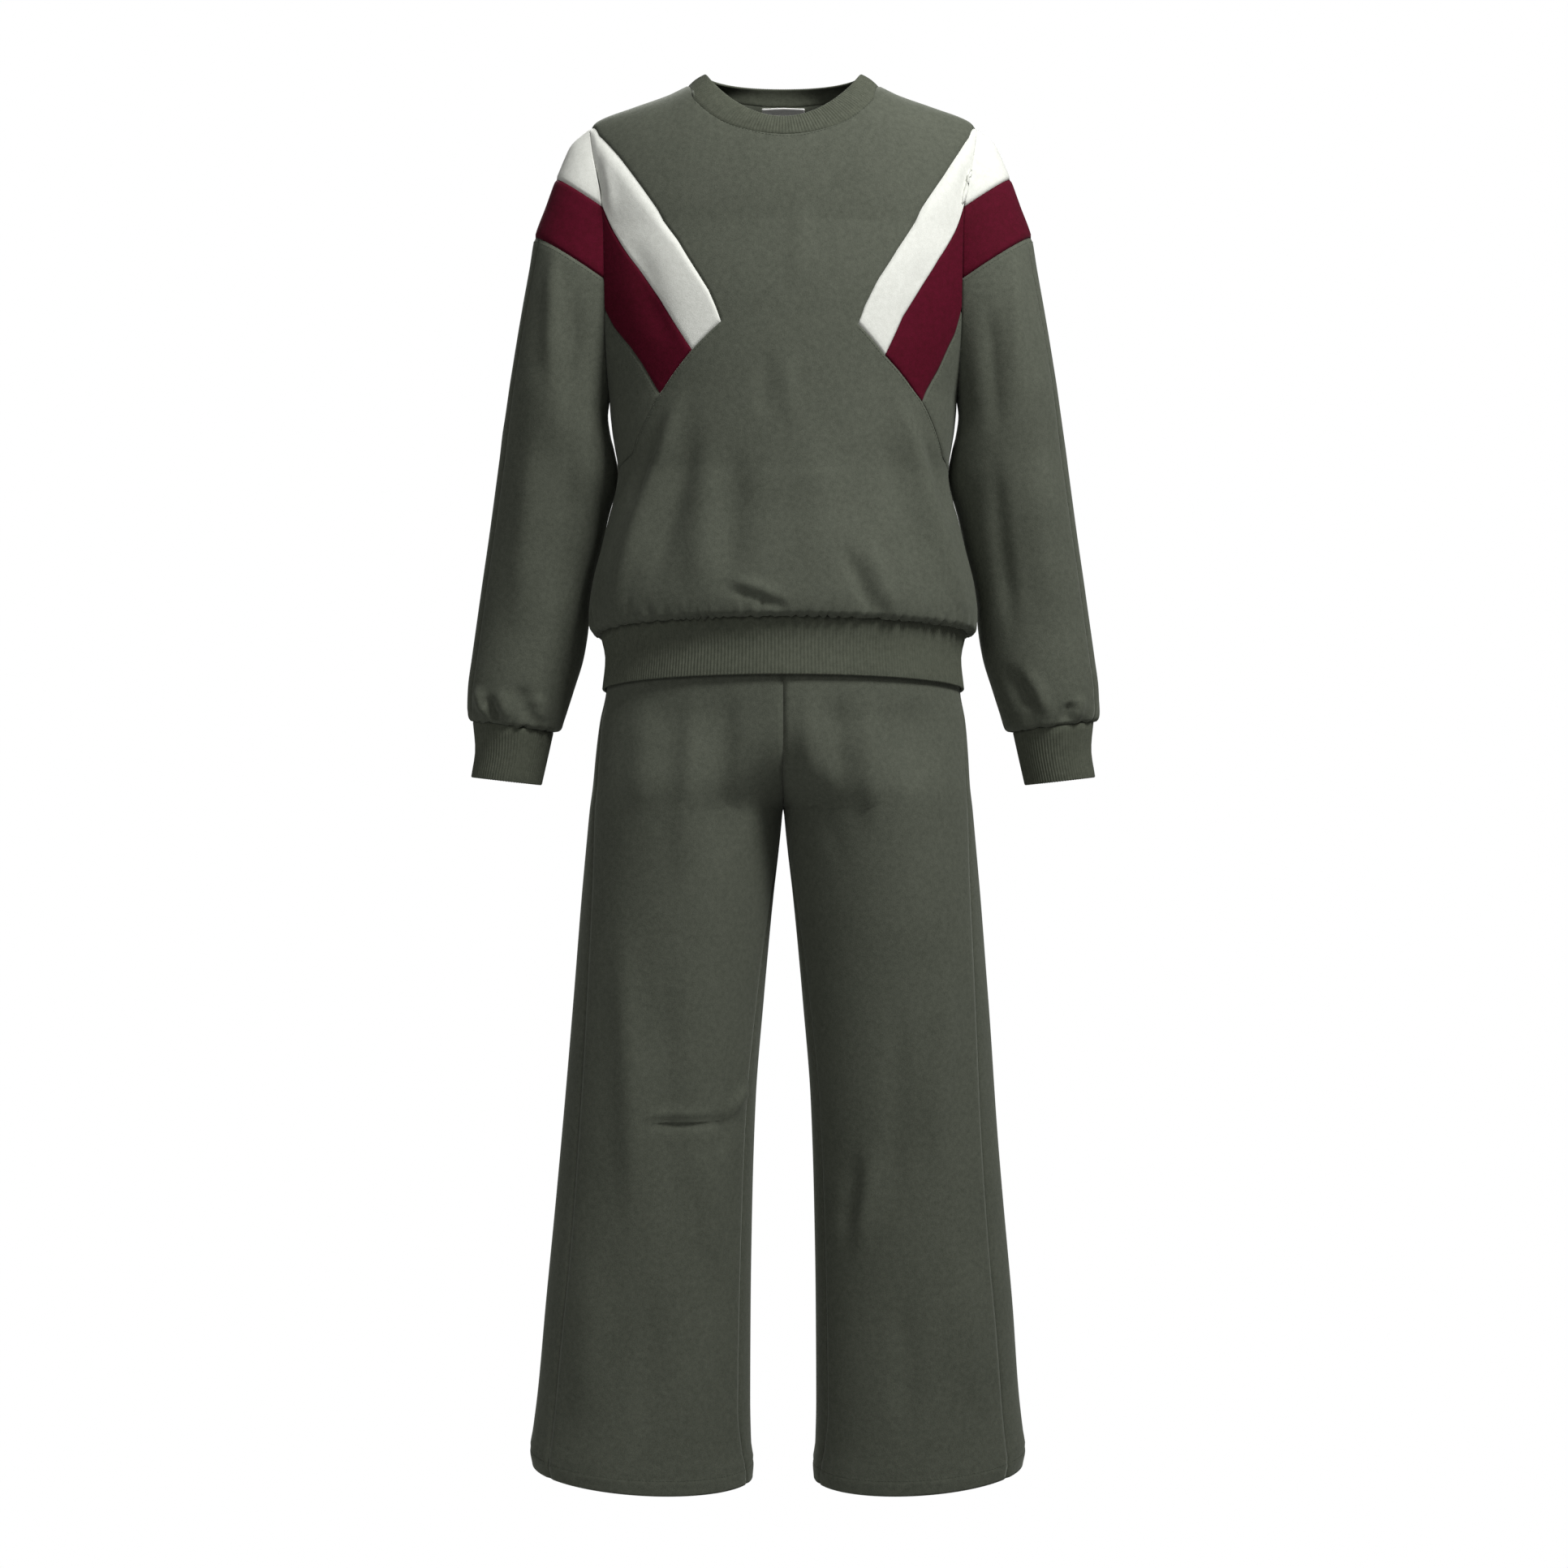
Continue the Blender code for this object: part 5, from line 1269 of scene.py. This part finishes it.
def build_collar():
    columns = COLLAR_RIBS * RIB_SAMPLES
    part = np.arange(columns) / columns
    quarter = 4 * part
    back = (quarter >= 1) & (quarter < 3)
    share = np.abs(np.mod(quarter + 1, 2) - 1)
    half = np.where(quarter <= 2, 1.0, -1.0)
    seam = np.zeros((columns, 3))
    for side, chosen in ((-1, ~back), (1, back)):
        around, up = neck_places(side, share)
        seam = np.where(chosen[:, None], torso(side, half * around, up), seam)
    angle = 2 * math.pi * part
    middle = (COLLAR_TOP_FRONT + COLLAR_TOP_BACK) / 2
    reach = (COLLAR_TOP_BACK - COLLAR_TOP_FRONT) / 2
    dip = COLLAR_TOP_DIP * np.maximum(0.0, np.cos(angle)) ** COLLAR_DIP_POWER
    top = np.column_stack([COLLAR_TOP_HALF_WIDTH * np.sin(angle), middle - reach * np.cos(angle),
                           COLLAR_TOP_SIDE_HEIGHT - dip])
    step = COLLAR_SLOPE_COLUMNS
    around = np.roll(top, -step, axis=0) - np.roll(top, step, axis=0)
    lean = unit(np.cross(around, top - seam))
    rows = []
    directions = []
    for share_up in np.linspace(0, 1, RIB_ROWS + 1):
        bulge = lean * (COLLAR_BULGE * math.sin(math.pi * share_up))
        rows.append(seam + (top - seam) * share_up + bulge)
        directions.append(lean)
    ring("collar", rows, directions, COLLAR_RIBS, under=COLLAR_UNDER)


def build_label():
    """Blank woven label hanging inside the back of the neck."""
    top_rise = math.pi / 2 - BACK_NECK_DROP
    across, along = LABEL_CELLS
    share, down = np.meshgrid(np.linspace(-1, 1, across + 1), np.linspace(0, 1, along + 1))
    points = torso(1, np.arcsin(share * LABEL_HALF_WIDTH / ROUND_WIDTH),
                   ROUND_SCALE * top_rise + LABEL_ABOVE - LABEL_HEIGHT * down)
    normals = grid_outward(points, np.broadcast_to(LABEL_FACES, points.shape))
    out, side, turns = LABEL_CURL
    curl = out * np.sin(math.pi * down) - side * np.cos(share * turns)
    outer = points - normals * (WALL + LABEL_GAP + curl)[..., None]
    made = shell("neck_label_woven", outer, normals, LABEL_THICK, "label_white")
    declare(made, "neck_label", "label_white", held="hung", rests_on=["back_body_cloth"])


def build_waistband():
    angle = turns(WAIST_RIBS * RIB_SAMPLES)
    rows = [oval(angle, *WAISTBAND, np.full(len(angle), height))
            for height in np.linspace(WAIST_SEAM, WAIST_TOP, WAIST_ROWS + 1)]
    points, directions = zip(*rows)
    ring("waistband", points, directions, WAIST_RIBS)


# Sewing
def stitch_run(line, normals):
    """Vertices and faces of a row of stitches along a line on the cloth."""
    lengths = lengths_along(line)
    vertices = []
    faces = []
    place = STITCH_PITCH
    while place + STITCH_LENGTH < lengths[-1]:
        ends = [np.array([np.interp(place + STITCH_LENGTH * part, lengths, axis)
                          for axis in line.T]) for part in (0, 0.5, 1)]
        up = unit(np.array([np.interp(place, lengths, axis) for axis in normals.T]))
        side = unit(np.cross(up, ends[2] - ends[0]))
        first = len(vertices)
        for centre, size in zip(ends, STITCH_SIZES):
            for corner in range(STITCH_SIDES):
                turn = 2 * math.pi * corner / STITCH_SIDES
                raised = up * (math.sin(turn) + STITCH_RAISED)
                vertices.append(centre + THREAD * size * (side * math.cos(turn) + raised))
        for ring_number in range(2):
            base = first + ring_number * STITCH_SIDES
            for corner in range(STITCH_SIDES):
                after = (corner + 1) % STITCH_SIDES
                faces.append((base + corner, base + after, base + after + STITCH_SIDES,
                              base + corner + STITCH_SIDES))
        faces.append(tuple(first + corner for corner in range(STITCH_SIDES))[::-1])
        faces.append(tuple(first + 2 * STITCH_SIDES + corner for corner in range(STITCH_SIDES)))
        place += STITCH_PITCH
    return vertices, faces


def line_beside(grid, normals, edge, distance, first, last):
    """The line that lies a distance inside an edge of a grid, and its directions."""
    if edge in ("top", "bottom"):
        grid = np.swapaxes(grid, 0, 1)
        normals = np.swapaxes(normals, 0, 1)
    if edge in ("end", "bottom"):
        grid = grid[:, ::-1]
        normals = normals[:, ::-1]
    line = []
    for row in grid[first:last]:
        reach = lengths_along(row)
        away = min(distance, STITCH_MOST_SHARE * reach[-1])
        line.append([np.interp(away, reach, axis) for axis in row.T])
    return np.array(line), normals[first:last, 0]


def build_sewing(pieces):
    """Topstitches beside the seams, one piece for each thread colour."""
    slant_from = BAND_COLUMNS + 2
    slant_to = BAND_COLUMNS + WHITE_ROWS + BURGUNDY_ROWS + SIDE_ROWS
    runs = []
    for edge in ("start", "end"):
        runs.append(("front_body", edge, STITCH_AWAY, slant_from, slant_to, 1.0))
    neck_from = int(NECK_SHARE * BODY_COLUMNS)
    neck_to = BODY_COLUMNS - neck_from + 1
    for body in ("front_body", "back_body"):
        runs.append((body, "top", STITCH_AWAY, neck_from, neck_to, 1.0))
    for half, flip in HALVES:
        runs.append((f"side_panel_{half}", "top", STITCH_AWAY, 0, None, flip))
        for name in ("sleeve_front", "sleeve_back"):
            runs.append((f"{name}_{half}", "top", STITCH_AWAY, 0, None, flip))
        for name in ("trouser_front", "trouser_back"):
            hem = abs(LEG_HEM - LEG_HEM_STITCH)
            runs.append((f"{name}_{half}", "bottom", hem, 0, None, flip))
    vertices = []
    faces = []
    for node, edge, away, first, last, flip in runs:
        grid, normals = pieces[node]
        line, up = line_beside(grid, normals, edge, away, first, last)
        found, sides = stitch_run(line * (flip, 1, 1), up * (flip, 1, 1))
        faces += [tuple(len(vertices) + corner for corner in side) for side in sides]
        vertices += found
    made = new_piece("topstitching", vertices, faces, "thread_green")


# Floor, light and camera: the floor's height and half side in metres
FLOOR_Z = -1.55
FLOOR_REACH = 6
FLOOR_TONE = 0.45
SKY_STRENGTH = 0.13
WHITE = (1.0, 1.0, 1.0, 1.0)
# Square soft lights, in metres: name, place, where it points, side, power
LIGHTS = (
    ("key", (1.15, -1.35, 1.45), (0, 0, -0.15), 0.7, 76),
    ("fill", (-1.1, -2.8, 0.7), (0, 0, -0.6), 1.2, 15),
    ("back", (-0.4, 2.6, 1.9), (0, 0, -0.6), 1.2, 110),
)


def soft_light(name, place, target, size, power):
    """A square area light that points at a target."""
    data = bpy.data.lights.new(name, "AREA")
    data.shape = "RECTANGLE"
    data.size = size
    data.size_y = size
    data.energy = power
    made = bpy.data.objects.new(name, data)
    bpy.context.scene.collection.objects.link(made)
    made.location = place
    direction = np.array(target) - np.array(place)
    made.rotation_euler = Vector(direction).to_track_quat("-Z", "Y").to_euler()


def white_when_seen(tree, plain, output):
    """Pure white as a background, and the plain shader for the light it sends back."""
    nodes = tree.nodes
    seen = nodes.new("ShaderNodeLightPath")
    white = nodes.new("ShaderNodeEmission" if output.bl_idname == "ShaderNodeOutputMaterial"
                      else "ShaderNodeBackground")
    white.inputs["Color"].default_value = WHITE
    white.inputs["Strength"].default_value = 1.0
    mixed = nodes.new("ShaderNodeMixShader")
    tree.links.new(seen.outputs["Is Camera Ray"], mixed.inputs["Fac"])
    tree.links.new(plain.outputs[0], mixed.inputs[1])
    tree.links.new(white.outputs[0], mixed.inputs[2])
    tree.links.new(mixed.outputs["Shader"], output.inputs["Surface"])


def build_studio():
    pale = bpy.data.materials.new("studio_floor")
    pale.use_nodes = True
    nodes = pale.node_tree.nodes
    shader = nodes["Principled BSDF"]
    shader.inputs["Base Color"].default_value = (FLOOR_TONE, FLOOR_TONE, FLOOR_TONE, 1.0)
    shader.inputs["Roughness"].default_value = 0.95
    white_when_seen(pale.node_tree, shader, nodes["Material Output"])
    mesh = bpy.data.meshes.new("studio_floor")
    vertices = [(x * FLOOR_REACH, y * FLOOR_REACH, FLOOR_Z)
                for x, y in ((-1, -1), (1, -1), (1, 1), (-1, 1))]
    mesh.from_pydata(vertices, [], [(0, 1, 2, 3)])
    mesh.materials.append(pale)
    floor = bpy.data.objects.new("studio_floor", mesh)
    bpy.context.scene.collection.objects.link(floor)
    world = bpy.data.worlds.new("studio")
    world.use_nodes = True
    plain = world.node_tree.nodes["Background"]
    plain.inputs["Color"].default_value = WHITE
    plain.inputs["Strength"].default_value = SKY_STRENGTH
    white_when_seen(world.node_tree, plain, world.node_tree.nodes["World Output"])
    bpy.context.scene.world = world
    for light in LIGHTS:
        soft_light(*light)
    bpy.context.scene.view_settings.view_transform = "Standard"


def build_camera():
    data = bpy.data.cameras.new("camera")
    data.sensor_width = SENSOR
    data.lens = SENSOR * EYE_DISTANCE / FRAME_WIDTH
    made = bpy.data.objects.new("camera", data)
    bpy.context.scene.collection.objects.link(made)
    made.location = (EYE_SIDE * MM, -EYE_DISTANCE * MM, EYE_HEIGHT * MM)
    made.rotation_euler = (math.pi / 2, 0, 0)
    data.clip_end = 30.0
    bpy.context.scene.camera = made


for old in list(bpy.data.objects):
    bpy.data.objects.remove(old)
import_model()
build_camera()
build_studio()
finishes = {name: finish(name, *look) for name, look in FINISHES.items()}
pieces = {**build_body(), **build_sleeves(), **build_legs()}
build_hem_band()
build_cuffs()
build_collar()
build_waistband()
build_label()
build_sewing(pieces)
